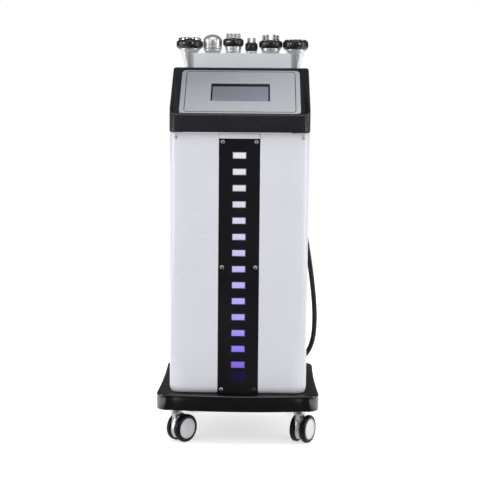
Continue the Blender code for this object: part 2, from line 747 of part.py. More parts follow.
def make_modules():
    """The mains supply, the ultrasound generator and the radio-frequency generator, each on its shelf."""
    looks = (("power_supply", SUPPLY_SIZE, brushed()), ("ultrasound_generator", ULTRASOUND_SIZE, brushed()),
             ("radio_generator", RADIO_SIZE, zinc()))
    front = TOWER_FRONT + TOWER_WALL + RAIL_DEPTH * 2 + MODULE_SETBACK
    for height, (name, (width, depth, tall), look) in zip(SHELF_HEIGHTS, looks):
        floor = height + SHELF_THICKNESS + GAP
        body = place(name, box_mesh(name, (-width / 2, front, floor), (width / 2, front + depth, floor + tall)), look)
        pitch = (width - FIN_THICKNESS) / (FIN_COUNT - 1)
        gaps = bmesh.new()
        for i in range(FIN_COUNT - 1):
            left = -width / 2 + pitch * i + FIN_THICKNESS
            add_box(gaps, (left, front - OVERRUN, floor + tall - FIN_HEIGHT),
                    (left + pitch - FIN_THICKNESS, front + depth + OVERRUN, floor + tall + OVERRUN))
        cut(body, finish_mesh(name + "_fin_gaps", gaps))


# Rear panel


def socket_points():
    return [(SOCKET_SPACING * column, row) for row in SOCKET_ROWS for column in (-1, 0, 1)]


def panel_outside():
    return TOWER_REAR + GAP + REAR_PANEL_THICKNESS


def make_rear_panel():
    inside = TOWER_REAR + GAP
    centre = (REAR_PANEL_BOTTOM + REAR_PANEL_TOP) / 2
    outline = rounded_rectangle(REAR_PANEL_WIDTH, REAR_PANEL_TOP - REAR_PANEL_BOTTOM, REAR_PANEL_CORNER, 3)
    rings = [[(x, y, centre + z) for x, z in outline] for y in (inside, panel_outside())]
    panel = place("rear_panel", loft_mesh("rear_panel", rings), white_paint())
    holes = bmesh.new()
    low, high = inside - OVERRUN, panel_outside() + OVERRUN
    for i in range(VENT_COUNT):
        z = VENT_HEIGHT_ABOVE_FLOOR + VENT_PITCH * (i - (VENT_COUNT - 1) / 2)
        add_box(holes, (-VENT_WIDTH / 2, low, z - VENT_HEIGHT / 2), (VENT_WIDTH / 2, high, z + VENT_HEIGHT / 2))
    pitch = 2 * FAN_BORE / FAN_SLOT_COUNT
    for i in range(FAN_SLOT_COUNT):
        off = pitch * (i - (FAN_SLOT_COUNT - 1) / 2)
        half = math.sqrt((FAN_BORE + FAN_SLOT_HEIGHT) ** 2 - off ** 2) - FAN_SLOT_HEIGHT
        z = FAN_HEIGHT + off
        add_box(holes, (-half, low, z - FAN_SLOT_HEIGHT / 2), (half, high, z + FAN_SLOT_HEIGHT / 2))
    reach = REAR_PANEL_THICKNESS + OVERRUN
    barrel = SOCKET_BARREL_RADIUS + GAP
    for x, z in socket_points():
        profile = [(0, -reach), (barrel, -reach), (barrel, reach), (0, reach)]
        add_turned(holes, profile, FACETS_SOCKET, along_y(x, inside, z), SOCKET_PHASE)
    half_width, half_height = INLET_WIDTH / 2 + GAP, INLET_HEIGHT / 2 + GAP
    add_box(holes, (INLET_X - half_width, low, INLET_CENTRE - half_height),
            (INLET_X + half_width, high, INLET_CENTRE + half_height))
    cut(panel, finish_mesh("rear_panel_holes", holes))


def make_sockets():
    """The socket block: a plate inside the rear panel with six barrels that open to the rear."""
    inside = TOWER_REAR + GAP
    outside = panel_outside() + SOCKET_PROUD
    margin = SOCKET_BARREL_RADIUS + SOCKET_MARGIN
    block = place("socket_block", box_mesh("socket_block", (
        -SOCKET_SPACING - margin, inside - GAP - SOCKET_PLATE, SOCKET_ROWS[0] - margin), (
        SOCKET_SPACING + margin, inside - GAP, SOCKET_ROWS[-1] + margin)), black_plastic())
    deep = SOCKET_BORE_DEPTH
    barrel = [(0, -deep - SOCKET_PLATE), (SOCKET_BARREL_RADIUS, -deep - SOCKET_PLATE), (SOCKET_BARREL_RADIUS, 0),
              (SOCKET_BORE, 0), (SOCKET_BORE, -deep), (0, -deep)]
    bore = [(0, -deep), (SOCKET_BORE, -deep), (SOCKET_BORE, OVERRUN), (0, OVERRUN)]
    for i, (x, z) in enumerate(socket_points()):
        frame = along_y(x, outside, z)
        join(block, turned_mesh("socket_barrel_%d" % i, barrel, FACETS_SOCKET, frame, SOCKET_PHASE))
    bores = bmesh.new()
    for x, z in socket_points():
        add_turned(bores, bore, FACETS_SOCKET, along_y(x, outside, z), SOCKET_PHASE)
    cut(block, finish_mesh("socket_bores", bores))


def make_inlet():
    """The mains inlet with its own switch opening above the recess for the plug."""
    outside = panel_outside() + GAP
    face = outside + INLET_PROUD
    half_width, half_height = INLET_WIDTH / 2, INLET_HEIGHT / 2
    body = place("mains_inlet", box_mesh("mains_inlet", (INLET_X - half_width, face - INLET_DEPTH,
                                                         INLET_CENTRE - half_height),
                                         (INLET_X + half_width, outside, INLET_CENTRE + half_height)),
                 black_plastic())
    rim = INLET_FLANGE
    join(body, box_mesh("inlet_flange", (INLET_X - half_width - rim, outside, INLET_CENTRE - half_height - rim),
                        (INLET_X + half_width + rim, face, INLET_CENTRE + half_height + rim)))
    recess_z = INLET_CENTRE - INLET_HEIGHT / 4
    wide, high = INLET_RECESS_WIDTH / 2, INLET_RECESS_HEIGHT / 2
    cut(body, box_mesh("inlet_recess", (INLET_X - wide, face - INLET_RECESS_DEPTH, recess_z - high),
                       (INLET_X + wide, face + OVERRUN, recess_z + high)))
    wide, high = ROCKER_WIDTH / 2 + RUNNING_GAP, ROCKER_HEIGHT / 2 + RUNNING_GAP * 2
    cut(body, box_mesh("rocker_opening", (INLET_X - wide, face - ROCKER_DEPTH - RUNNING_GAP, rocker_height() - high),
                       (INLET_X + wide, face + OVERRUN, rocker_height() + high)))


def rocker_height():
    return INLET_CENTRE + INLET_HEIGHT / 4


def rocker_axis():
    return panel_outside() + GAP + INLET_PROUD - ROCKER_DEPTH / 2


def make_rocker():
    """The mains rocker: a shallow V face, tilted to its off position, with its origin on its axle."""
    half, deep = ROCKER_HEIGHT / 2, ROCKER_DEPTH / 2
    proud = deep + ROCKER_PROUD
    edge = half * ROCKER_EDGE_SHARE
    root, root_half = -deep * ROCKER_ROOT_DEPTH_SHARE, half * ROCKER_ROOT_HEIGHT_SHARE
    section = [(root, -root_half), (proud, -edge), (deep + ROCKER_PROUD / 4, 0), (proud, edge), (root, root_half)]
    rings = [[(x, y, z) for y, z in section] for x in (-ROCKER_WIDTH / 2, ROCKER_WIDTH / 2)]
    rocker = place("rocker_switch", loft_mesh("rocker_switch", rings), black_plastic(),
                   (INLET_X, rocker_axis(), rocker_height()))
    rocker.rotation_euler = (ROCKER_TILT, 0, 0)


def make_fan():
    """A square cooling fan on the inside of the rear panel, with a rotor that turns on its shaft."""
    rear = TOWER_REAR
    front = rear - FAN_DEPTH
    half = FAN_SIZE / 2
    frame = place("fan_frame", box_mesh("fan_frame", (-half, front, FAN_HEIGHT - half), (half, rear, FAN_HEIGHT + half)),
                  black_plastic())
    profile = [(0, -OVERRUN), (FAN_BORE, -OVERRUN), (FAN_BORE, FAN_DEPTH + OVERRUN), (0, FAN_DEPTH + OVERRUN)]
    cut(frame, turned_mesh("fan_bore", profile, FACETS_LARGE, along_y(0, front, FAN_HEIGHT)))
    strut = FAN_STRUT / 2
    join(frame, box_mesh("fan_strut", (-half + strut, front, FAN_HEIGHT - strut),
                         (half - strut, front + FAN_STRUT / 2, FAN_HEIGHT + strut)))
    shaft = [(0, 0), (FAN_SHAFT_RADIUS, 0), (FAN_SHAFT_RADIUS, FAN_STRUT * 2), (0, FAN_STRUT * 2)]
    join(frame, turned_mesh("fan_shaft", shaft, FACETS_SMALL, along_y(0, front, FAN_HEIGHT)))
    low, high = front + FAN_STRUT / 2 + RUNNING_GAP, rear - FAN_STRUT / 3
    bore = FAN_SHAFT_RADIUS + GAP
    floor = front + FAN_STRUT * 2 + RUNNING_GAP - low
    tall = high - low
    hub = [(0, floor), (bore, floor), (bore, 0), (FAN_HUB, 0), (FAN_HUB, tall), (0, tall)]
    place_at = (0, low, FAN_HEIGHT)
    rotor = place("fan_rotor", turned_mesh("fan_rotor", hub, FACETS_MEDIUM, along_y(0, 0, 0)), black_plastic(),
                  place_at)
    tip = FAN_BORE - RUNNING_GAP * 2
    for i in range(FAN_BLADE_COUNT):
        angle = 2 * math.pi * i / FAN_BLADE_COUNT
        blade = bmesh.new()
        thick = FAN_BLADE_THICKNESS / 2
        root, lead = FAN_HUB * 0.9, tall * 0.35
        sections = []
        for radius in (root, tip):
            sections.append([(lead + thick, tall * 0.1, radius), (-lead + thick, tall * 0.9, radius),
                             (-lead - thick, tall * 0.9, radius), (lead - thick, tall * 0.1, radius)])
        add_loft(blade, sections)
        bmesh.ops.transform(blade, matrix=Matrix.Rotation(angle, 4, 'Y'), verts=blade.verts)
        for vert in blade.verts:
            across = math.hypot(vert.co.x, vert.co.z)
            if across > tip:
                vert.co.x, vert.co.z = vert.co.x * tip / across, vert.co.z * tip / across
        mesh = finish_mesh("fan_blade_%d" % i, blade)
        tool = place("added_" + mesh.name, mesh, None, place_at)
        combine(rotor, tool, 'UNION')


# Console


def console_profile():
    """Side view of the console as (y, z), anticlockwise seen from +X."""
    front, bottom = CONSOLE_FRONT, CONSOLE_BOTTOM
    ridge_y, ridge_z = front + CONSOLE_RUN, bottom + CONSOLE_SKIRT + CONSOLE_RISE
    return [
        (front, bottom), (CONSOLE_REAR, bottom), (CONSOLE_REAR, bottom + CONSOLE_BACK),
        (ridge_y + CONSOLE_RIDGE, ridge_z), (ridge_y, ridge_z), (front, bottom + CONSOLE_SKIRT),
    ]


def slope_frame():
    """Frame on the console's slope: X across, Y up the slope from the skirt's top edge, Z out of the face."""
    angle = math.atan2(CONSOLE_RISE, CONSOLE_RUN)
    origin = Matrix.Translation((0, CONSOLE_FRONT, CONSOLE_BOTTOM + CONSOLE_SKIRT))
    return origin @ Matrix.Rotation(angle, 4, 'X')


def slope_plate(name, width, length, from_skirt, top, thickness, corner):
    """A flat rounded plate parallel to the slope, its top face a given height above the face."""
    frame = slope_frame()
    centre = from_skirt + length / 2
    outline = rounded_rectangle(width, length, corner)
    rings = [[frame @ Vector((x, centre + y, z)) for x, y in outline] for z in (top - thickness, top)]
    return loft_mesh(name, rings)


def make_console():
    half = CONSOLE_WIDTH / 2
    outline = console_profile()
    shell = place("console_housing", loft_mesh("console_housing", [[(x, y, z) for y, z in outline]
                                                                   for x in (-half, half)]), black_plastic())
    bevel = shell.modifiers.new("edge_radius", 'BEVEL')
    bevel.width = CONSOLE_EDGE_RADIUS
    bevel.segments = 3
    bevel.limit_method = 'ANGLE'
    bevel.angle_limit = math.radians(20)
    inside = inset_polygon(outline, CONSOLE_WALL)
    low = CONSOLE_BOTTOM - OVERRUN - CONSOLE_EDGE_RADIUS
    inside = [(y, low if z < CONSOLE_BOTTOM + CONSOLE_WALL * 2 else z) for y, z in inside]
    wall = half - CONSOLE_WALL
    hollow = place("cutter_console_hollow", loft_mesh("console_hollow", [[(x, y, z) for y, z in inside]
                                                                         for x in (-wall, wall)]))
    round_off = hollow.modifiers.new("edge_radius", 'BEVEL')
    round_off.width = CONSOLE_EDGE_RADIUS - CONSOLE_WALL
    round_off.segments = 1
    round_off.limit_method = 'ANGLE'
    round_off.angle_limit = math.radians(20)
    combine(shell, hollow, 'DIFFERENCE')
    seat = FASCIA_THICKNESS + GAP
    cut(shell, slope_plate("fascia_seat", FASCIA_WIDTH + GAP * 2, FASCIA_LENGTH + GAP * 2, FASCIA_FROM_SKIRT - GAP,
                           OVERRUN, OVERRUN + seat, FASCIA_CORNER + GAP))
    width, length = screen_size()
    cut(shell, slope_plate("screen_opening", width + GAP * 2, length + GAP * 2, screen_start() - GAP, OVERRUN,
                           OVERRUN * 2 + CONSOLE_WALL, GAP * 4))


def screen_size():
    return WINDOW_SCREEN_WIDTH + SCREEN_MARGIN * 2, WINDOW_SCREEN_LENGTH + SCREEN_MARGIN * 2


def screen_start():
    return SCREEN_FROM_SKIRT - WINDOW_SCREEN_LENGTH / 2 - SCREEN_MARGIN


def make_fascia():
    fascia = place("console_fascia", slope_plate("console_fascia", FASCIA_WIDTH, FASCIA_LENGTH, FASCIA_FROM_SKIRT, 0,
                                                 FASCIA_THICKNESS, FASCIA_CORNER), grey_paint())
    cut(fascia, slope_plate("screen_window", WINDOW_SCREEN_WIDTH, WINDOW_SCREEN_LENGTH,
                            SCREEN_FROM_SKIRT - WINDOW_SCREEN_LENGTH / 2, OVERRUN, OVERRUN * 2, GAP * 4))
    width, length = screen_size()
    top = -FASCIA_THICKNESS - GAP
    place("display_glass", slope_plate("display_glass", width, length, screen_start(), top, GLASS_THICKNESS,
                                       GAP * 4), display_grey())
    top -= GLASS_THICKNESS + GAP
    module = place("display_module", slope_plate("display_module", width, length, screen_start(), top,
                                                 MODULE_THICKNESS, GAP * 4), board_green())
    top -= MODULE_THICKNESS
    board_top = top - CONTROL_BOARD_GAP
    join(module, slope_plate("control_board", width, length, screen_start(), board_top, CONTROL_BOARD_THICKNESS,
                             GAP * 4))
    frame = slope_frame()
    start = board_top - CONTROL_BOARD_THICKNESS / 2
    for i, (sx, sy) in enumerate(((-1, -1), (1, -1), (1, 1), (-1, 1))):
        x = sx * (width / 2 - SPACER_RADIUS * 2)
        y = SCREEN_FROM_SKIRT + sy * (length / 2 - SPACER_RADIUS * 2)
        end = top + CONTROL_BOARD_THICKNESS
        profile = [(0, start), (SPACER_RADIUS, start), (SPACER_RADIUS, end), (0, end)]
        join(module, turned_mesh("board_spacer_%d" % i, profile, FACETS_SMALL, frame @ Matrix.Translation((x, y, 0))))


# Rack


def rack_front():
    return CONSOLE_REAR + GAP


def rack_back():
    return rack_front() + RACK_SHEET


def make_rack_plate():
    """The bent guard plate: flat across, with round corners and short returns at its ends."""
    def path(inset):
        half, front = RACK_HALF_WIDTH - inset, rack_front() + inset
        radius = RACK_CORNER - inset
        end = rack_front() + RACK_RETURN
        points = [(half, end)]
        for i in range(5):
            angle = math.radians(-22.5 * i)
            points.append((half - radius + radius * math.cos(angle), front + radius + radius * math.sin(angle)))
        return points + [(-x, y) for x, y in reversed(points)]

    outer, inner = path(0), path(RACK_SHEET)
    bm = bmesh.new()
    loops = [[bm.verts.new((x, y, z)) for x, y in outer + list(reversed(inner))] for z in (RACK_BOTTOM, RACK_TOP)]
    count = len(loops[0])
    for i in range(count):
        j = (i + 1) % count
        bm.faces.new((loops[0][i], loops[0][j], loops[1][j], loops[1][i]))
    for loop in loops:
        for i in range(count // 2 - 1):
            bm.faces.new((loop[i], loop[i + 1], loop[count - 2 - i], loop[count - 1 - i]))
    place("rack_plate", finish_mesh("rack_plate", bm), grey_paint())


def make_rack_shelf():
    """The shelf with six holes, and the flange that screws to the back of the plate."""
    inside = rack_back() + GAP
    outer_front = rack_front() + RACK_RETURN + GAP
    step = RACK_HALF_WIDTH - RACK_SHEET - GAP
    half, rear = RACK_SHELF_HALF_WIDTH, RACK_SHELF_REAR
    outline = [
        (-step + RACK_CORNER, inside), (step - RACK_CORNER, inside), (step, inside + RACK_CORNER),
        (step, outer_front), (half, outer_front), (half, rear - RACK_CORNER), (half - RACK_CORNER, rear),
        (-half + RACK_CORNER, rear), (-half, rear - RACK_CORNER), (-half, outer_front), (-step, outer_front),
        (-step, inside + RACK_CORNER),
    ]
    low = RACK_SHELF_TOP - RACK_SHEET
    shelf = place("rack_shelf", loft_mesh("rack_shelf", [[(x, y, z) for x, y in outline]
                                                         for z in (low, RACK_SHELF_TOP)]), grey_paint())
    join(shelf, box_mesh("shelf_flange", (-RACK_FLANGE_HALF_WIDTH, inside, low - RACK_FLANGE_DROP),
                         (RACK_FLANGE_HALF_WIDTH, inside + RACK_SHEET, low + RACK_SHEET / 2)))
    holes = bmesh.new()
    hole = LINER_RADIUS + GAP
    profile = [(0, low - OVERRUN), (hole, low - OVERRUN), (hole, RACK_SHELF_TOP + OVERRUN),
               (0, RACK_SHELF_TOP + OVERRUN)]
    for x in HANDPIECE_X:
        add_turned(holes, profile, FACETS_MEDIUM, Matrix.Translation((x, HANDPIECE_Y, 0)))
    cut(shelf, finish_mesh("rack_shelf_holes", holes))


def liner_top():
    return RACK_SHELF_TOP + GAP + LINER_FLANGE_THICKNESS


def make_liner():
    """The rubber mat on the shelf, with a collar that lines each hole."""
    seat, top = RACK_SHELF_TOP + GAP, liner_top()
    half = HANDPIECE_X[-1] + LINER_FLANGE_RADIUS
    outline = rounded_rectangle(half * 2, LINER_FLANGE_RADIUS * 2, LINER_FLANGE_RADIUS * 0.98, 4)
    rings = [[(x, HANDPIECE_Y + y, z) for x, y in outline] for z in (seat, top)]
    mat = place("rack_liner", loft_mesh("rack_liner", rings), rubber())
    low = RACK_SHELF_TOP - RACK_SHEET * 2
    middle = (seat + top) / 2
    collar = [(0, low), (LINER_RADIUS, low), (LINER_RADIUS, middle), (0, middle)]
    bores = bmesh.new()
    bore = [(0, low - OVERRUN), (LINER_BORE, low - OVERRUN), (LINER_BORE, top + OVERRUN), (0, top + OVERRUN)]
    for i, x in enumerate(HANDPIECE_X):
        frame = Matrix.Translation((x, HANDPIECE_Y, 0))
        join(mat, turned_mesh("liner_collar_%d" % i, collar, FACETS_MEDIUM, frame))
        add_turned(bores, bore, FACETS_MEDIUM, frame)
    cut(mat, finish_mesh("liner_bores", bores))


# Handpieces


def head_bottom(head):
    return CONE_TOP + head["rise"]


def head_top(head):
    return head_bottom(head) + head["tall"]


def handle_profile(head):
    """Turned handle and cone, from its tail up to the underside of its collar; zero is the liner's top."""
    zero = liner_top()
    waist, seat = HANDLE_WAIST_RADIUS, LINER_BORE - GAP * 2
    tail = HANDLE_BOTTOM - zero
    top = head_bottom(head) - GAP - zero
    return [
        (0, tail), (HANDLE_TAIL_RADIUS, tail), (HANDLE_TAIL_RADIUS + GAP, tail + HANDLE_TAIL_LENGTH),
        (seat, tail + HANDLE_TAIL_LENGTH * 1.5), (waist, tail / 2), (seat, -GAP),
        (head["cone"] * 0.75, (CONE_TOP - zero) * 0.55), (head["cone"], CONE_TOP - zero),
        (head["neck"], top), (0, top),
    ]


def collar_profile(head):
    low, high, radius = head_bottom(head), head_top(head), head["radius"]
    tall = head["tall"]
    return [
        (0, low), (radius * COLLAR_BOTTOM_SHARE, low), (radius, low + tall * COLLAR_WAIST_LOW_SHARE),
        (radius, low + tall * COLLAR_WAIST_HIGH_SHARE), (radius * COLLAR_TOP_SHARE, high), (0, high),
    ]


def plate_profile(head, radius, tall):
    low = head_top(head) + GAP
    return [(0, low), (radius, low), (radius, low + tall * 0.6), (radius * 0.93, low + tall), (0, low + tall)]


def dome_profile(head):
    low, high, radius = head_bottom(head), head_top(head), head["radius"]
    seam = low + DOME_SEAM_HEIGHT
    shoulder = high - radius * 0.72
    points = [(0, low), (radius * 0.97, low), (radius, low + DOME_SEAM_HEIGHT / 2), (radius * 0.97, seam),
              (radius, seam + DOME_SEAM_HEIGHT / 4), (radius, shoulder)]
    for share in (0.90, 0.72, 0.45):
        points.append((radius * share, shoulder + (high - shoulder) * math.sqrt(1 - share ** 2)))
    return points + [(0, high)]


def make_rods(name, places, head, tall, radius, parent):
    """Upright rod electrodes on a thin carrier disc."""
    low = head_top(head) + GAP - liner_top()
    face = low + ROD_CARRIER
    disc_radius = head["radius"] * COLLAR_TOP_SHARE * 0.94
    disc = [(0, low), (disc_radius, low), (disc_radius, face), (0, face)]
    carrier = place(name, turned_mesh(name, disc, FACETS_LARGE), chrome(), (0, 0, 0), parent)
    middle = low + ROD_CARRIER / 2
    rod = [(0, middle), (radius, middle), (radius, low + tall - radius / 2), (radius * 0.6, low + tall), (0, low + tall)]
    for i, (x, y) in enumerate(places):
        join(carrier, turned_mesh("%s_rod_%d" % (name, i), rod, FACETS_SMALL, Matrix.Translation((x, y, 0))), parent)


def shifted(profile):
    """Heights measured from the floor, turned into heights above the liner's top."""
    return [(radius, height - liner_top()) for radius, height in profile]


def make_handpieces():
    heads = (LEFT_HEAD, DOME_HEAD, ROW_HEAD, PAIR_HEAD, RING_HEAD, RIGHT_HEAD)
    row = [(ROW_ROD_PITCH * (i - (ROW_ROD_COUNT - 1) / 2), 0) for i in range(ROW_ROD_COUNT)]
    pair = [(-PAIR_ROD_PITCH / 2, 0), (PAIR_ROD_PITCH / 2, 0)]
    ring = [(RING_RADIUS * math.cos(a), RING_RADIUS * math.sin(a))
            for a in (2 * math.pi * i / RING_ROD_COUNT for i in range(RING_ROD_COUNT))]
    for number, (x, head) in enumerate(zip(HANDPIECE_X, heads), 1):
        name = "handpiece_%d" % number
        slide = pivot(name + "_slide", (x, HANDPIECE_Y, liner_top()))
        place(name + "_handle", turned_mesh(name + "_handle", handle_profile(head), FACETS_MEDIUM), brushed(),
              (0, 0, 0), slide)
        if number == 2:
            dome = turned_mesh(name + "_dome", shifted(dome_profile(head)), FACETS_LARGE)
            place(name + "_dome", dome, chrome(), (0, 0, 0), slide)
            continue
        collar = turned_mesh(name + "_collar", shifted(collar_profile(head)), FACETS_LARGE)
        place(name + "_collar", collar, black_plastic(), (0, 0, 0), slide)
        label = name + "_electrode"
        if number in (1, 6):
            size = (LEFT_PLATE_RADIUS, LEFT_PLATE_HEIGHT) if number == 1 else (RIGHT_PLATE_RADIUS, RIGHT_PLATE_HEIGHT)
            mesh = turned_mesh(label, shifted(plate_profile(head, *size)), FACETS_LARGE)
            place(label, mesh, chrome(), (0, 0, 0), slide)
        elif number == 3:
            make_rods(label, row, head, ROW_ROD_HEIGHT, ROD_RADIUS, slide)
        elif number == 4:
            make_rods(label, pair, head, PAIR_ROD_HEIGHT, PAIR_ROD_RADIUS, slide)
        else:
            make_rods(label, ring, head, RING_ROD_HEIGHT, ROD_RADIUS, slide)


# Lead


def make_gland():
    """The tapered strain relief moulded to the tail of the outer right handpiece."""
    low = HANDLE_BOTTOM - GLAND_LENGTH
    top = HANDLE_BOTTOM + HANDLE_TAIL_LENGTH / 2
    wide = HANDLE_TAIL_RADIUS * 0.92
    profile = [(0, low), (LEAD_RADIUS, low), (LEAD_RADIUS, low + GLAND_LENGTH / 4), (wide, HANDLE_BOTTOM - GAP),
               (wide, top), (0, top)]
    handle = bpy.data.objects["handpiece_6_handle"]
    join(handle, turned_mesh("handpiece_6_gland", shifted(profile), FACETS_MEDIUM), handle.parent)


def make_connector():
    """The angled connector: a plug in its socket, and a barrel that turns the lead downwards."""
    x, z = SOCKET_SPACING, SOCKET_ROWS[0]
    face = panel_outside() + SOCKET_PROUD + GAP
    centre = connector_axis()
    top = z + CONNECTOR_ELBOW_RADIUS
    low = z - CONNECTOR_DROP
    barrel = [(0, low), (LEAD_RADIUS, low), (CONNECTOR_ELBOW_RADIUS, low + CONNECTOR_ELBOW_RADIUS),
              (CONNECTOR_ELBOW_RADIUS, top - GAP * 6), (CONNECTOR_ELBOW_RADIUS * 0.8, top), (0, top)]
    body = place("lead_connector", turned_mesh("lead_connector", barrel, FACETS_MEDIUM,
                                               Matrix.Translation((x, centre, 0))), black_plastic())
    plug = [(0, -CONNECTOR_PLUG_LENGTH), (CONNECTOR_PLUG_RADIUS, -CONNECTOR_PLUG_LENGTH), (CONNECTOR_PLUG_RADIUS, 0),
            (CONNECTOR_ELBOW_RADIUS * 0.9, 0), (CONNECTOR_ELBOW_RADIUS * 0.9, centre - face), (0, centre - face)]
    join(body, turned_mesh("connector_plug", plug, FACETS_SOCKET, along_y(x, face, z), SOCKET_PHASE))


def connector_axis():
    return panel_outside() + SOCKET_PROUD + GAP + CONNECTOR_OUT + CONNECTOR_ELBOW_RADIUS / 2


def lead_points():
    """The whole route: a straight start and end, with the hand-chosen points between them."""
    end = (SOCKET_SPACING, connector_axis(), SOCKET_ROWS[0] - CONNECTOR_DROP - GAP)
    before = (end[0], end[1], end[2] - LEAD_END_RUN)
    return [Vector(p) for p in (LEAD_START, *LEAD_ROUTE, before, end)]


def smooth_route(points, count):
    """Evenly spaced points on a centripetal curve through the route, its end runs kept straight."""
    ends = [points[0] * 2 - points[1]] + points + [points[-1] * 2 - points[-2]]
    dense = []
    for i in range(1, len(ends) - 2):
        p0, p1, p2, p3 = ends[i - 1:i + 3]
        t1 = (p1 - p0).length ** 0.5
        t2 = t1 + (p2 - p1).length ** 0.5
        t3 = t2 + (p3 - p2).length ** 0.5
        for k in range(24):
            t = t1 + (t2 - t1) * k / 24
            a1 = p0 * ((t1 - t) / t1) + p1 * (t / t1)
            a2 = p1 * ((t2 - t) / (t2 - t1)) + p2 * ((t - t1) / (t2 - t1))
            a3 = p2 * ((t3 - t) / (t3 - t2)) + p3 * ((t - t2) / (t3 - t2))
            b1 = a1 * ((t2 - t) / t2) + a2 * (t / t2)
            b2 = a2 * ((t3 - t) / (t3 - t1)) + a3 * ((t - t1) / (t3 - t1))
            dense.append(b1 * ((t2 - t) / (t2 - t1)) + b2 * ((t - t1) / (t2 - t1)))
    dense.append(points[-1])
    travelled = [0.0]
    for a, b in zip(dense, dense[1:]):
        travelled.append(travelled[-1] + (b - a).length)
    total = travelled[-1]
    result, j = [], 0
    for i in range(count):
        want = total * i / (count - 1)
        while j < len(dense) - 2 and travelled[j + 1] < want:
            j += 1
        span = travelled[j + 1] - travelled[j]
        result.append(dense[j].lerp(dense[j + 1], (want - travelled[j]) / span))
    return result, total


def tube_curve(name, points, radius, shares=None):
    data = bpy.data.curves.new(name, 'CURVE')
    data.dimensions = '3D'
    data.bevel_depth = radius
    data.bevel_resolution = 2
    data.use_fill_caps = True
    spline = data.splines.new('POLY')
    spline.points.add(len(points) - 1)
    for i, (point, co) in enumerate(zip(spline.points, points)):
        point.co = (*co, 1)
        point.radius = shares[i] if shares else 1
    return data


def curve_mesh(name, data):
    """Turns a tube curve into a mesh, so that a Boolean can work on it."""
    holder = bpy.data.objects.new(name + "_path", data)
    bpy.context.scene.collection.objects.link(holder)
    graph = bpy.context.evaluated_depsgraph_get()
    mesh = bpy.data.meshes.new_from_object(holder.evaluated_get(graph))
    bpy.data.objects.remove(holder, do_unlink=True)
    mesh.name = name
    bm = bmesh.new()
    bm.from_mesh(mesh)
    bmesh.ops.remove_doubles(bm, verts=bm.verts, dist=WELD)
    bmesh.ops.recalc_face_normals(bm, faces=bm.faces)
    bm.to_mesh(mesh)
    bm.free()
    mesh.shade_smooth()
    return mesh


def make_lead():
    """The ribbed lead with its bore. It prints its length, its ribs and the least gap between its stretches."""
    count = LEAD_RIB_COUNT * 2 + 1
    points, total = smooth_route(lead_points(), count)
    shares = [1 if i % 2 == 0 else LEAD_VALLEY_SHARE for i in range(count)]
    lead = place("handpiece_6_lead", curve_mesh("handpiece_6_lead",
                                                tube_curve("lead", points, LEAD_RADIUS, shares)), rubber())
    inner, _ = smooth_route(lead_points(), LEAD_BORE_POINTS)
    first = inner[0] + (inner[0] - inner[1]).normalized() * OVERRUN
    last = inner[-1] + (inner[-1] - inner[-2]).normalized() * OVERRUN
    bore = curve_mesh("lead_bore", tube_curve("bore", [first] + inner + [last], LEAD_BORE_RADIUS))
    cut(lead, bore)
    apart = LEAD_RADIUS * 8
    pitch = total / (count - 1)
    least = min((points[i] - points[j]).length for i in range(count) for j in range(i + 1, count)
                if (j - i) * pitch > apart)
    print("lead length %.3f m, %d ribs, least gap to itself %.4f m" % (total, LEAD_RIB_COUNT, least - 2 * LEAD_RADIUS))


clear_scene()
mount_height = make_base()
make_mounts(mount_height)
make_casters()
make_covers()
make_centre_panel()
make_chassis()
make_modules()
make_rear_panel()
make_sockets()
make_inlet()
make_rocker()
make_fan()
make_console()
make_fascia()
make_rack_plate()
make_rack_shelf()
make_liner()
make_handpieces()
make_gland()
make_connector()
make_lead()
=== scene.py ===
"""A cavitation slimming machine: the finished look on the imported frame.

Metres, +Z up, the front faces -Y. Sizes that belong to a shape repeat those of the part's source.
"""
import math

import bmesh
import bpy
from mathutils import Matrix, Vector


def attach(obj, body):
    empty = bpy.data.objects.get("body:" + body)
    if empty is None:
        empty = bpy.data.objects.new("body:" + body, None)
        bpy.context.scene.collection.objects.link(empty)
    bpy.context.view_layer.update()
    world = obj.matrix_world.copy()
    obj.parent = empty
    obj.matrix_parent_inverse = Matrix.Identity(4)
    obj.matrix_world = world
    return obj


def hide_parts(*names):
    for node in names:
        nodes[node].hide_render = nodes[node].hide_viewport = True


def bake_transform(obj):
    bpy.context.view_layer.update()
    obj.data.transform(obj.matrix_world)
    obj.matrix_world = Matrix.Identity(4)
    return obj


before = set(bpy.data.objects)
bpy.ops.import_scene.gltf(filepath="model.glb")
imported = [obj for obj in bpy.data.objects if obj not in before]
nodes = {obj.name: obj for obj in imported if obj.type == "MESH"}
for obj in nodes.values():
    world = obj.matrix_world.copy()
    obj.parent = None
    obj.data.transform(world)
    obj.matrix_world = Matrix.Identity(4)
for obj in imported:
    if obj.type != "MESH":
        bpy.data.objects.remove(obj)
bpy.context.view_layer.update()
bpy.context.scene.view_settings.view_transform = 'Standard'
GAP = 0.0003


# Camera

CAMERA_YAW, CAMERA_PITCH, CAMERA_ROLL = math.radians(0.93), math.radians(5.75), 0.0085
CAMERA_HEIGHT, CAMERA_DISTANCE = 0.828, 2.946
FOCAL_PIXELS, FRAME_PIXELS, SENSOR_WIDTH = 1063.0, 480, 36.0


def into_scene(name, data):
    obj = bpy.data.objects.new(name, data)
    bpy.context.scene.collection.objects.link(obj)
    return obj


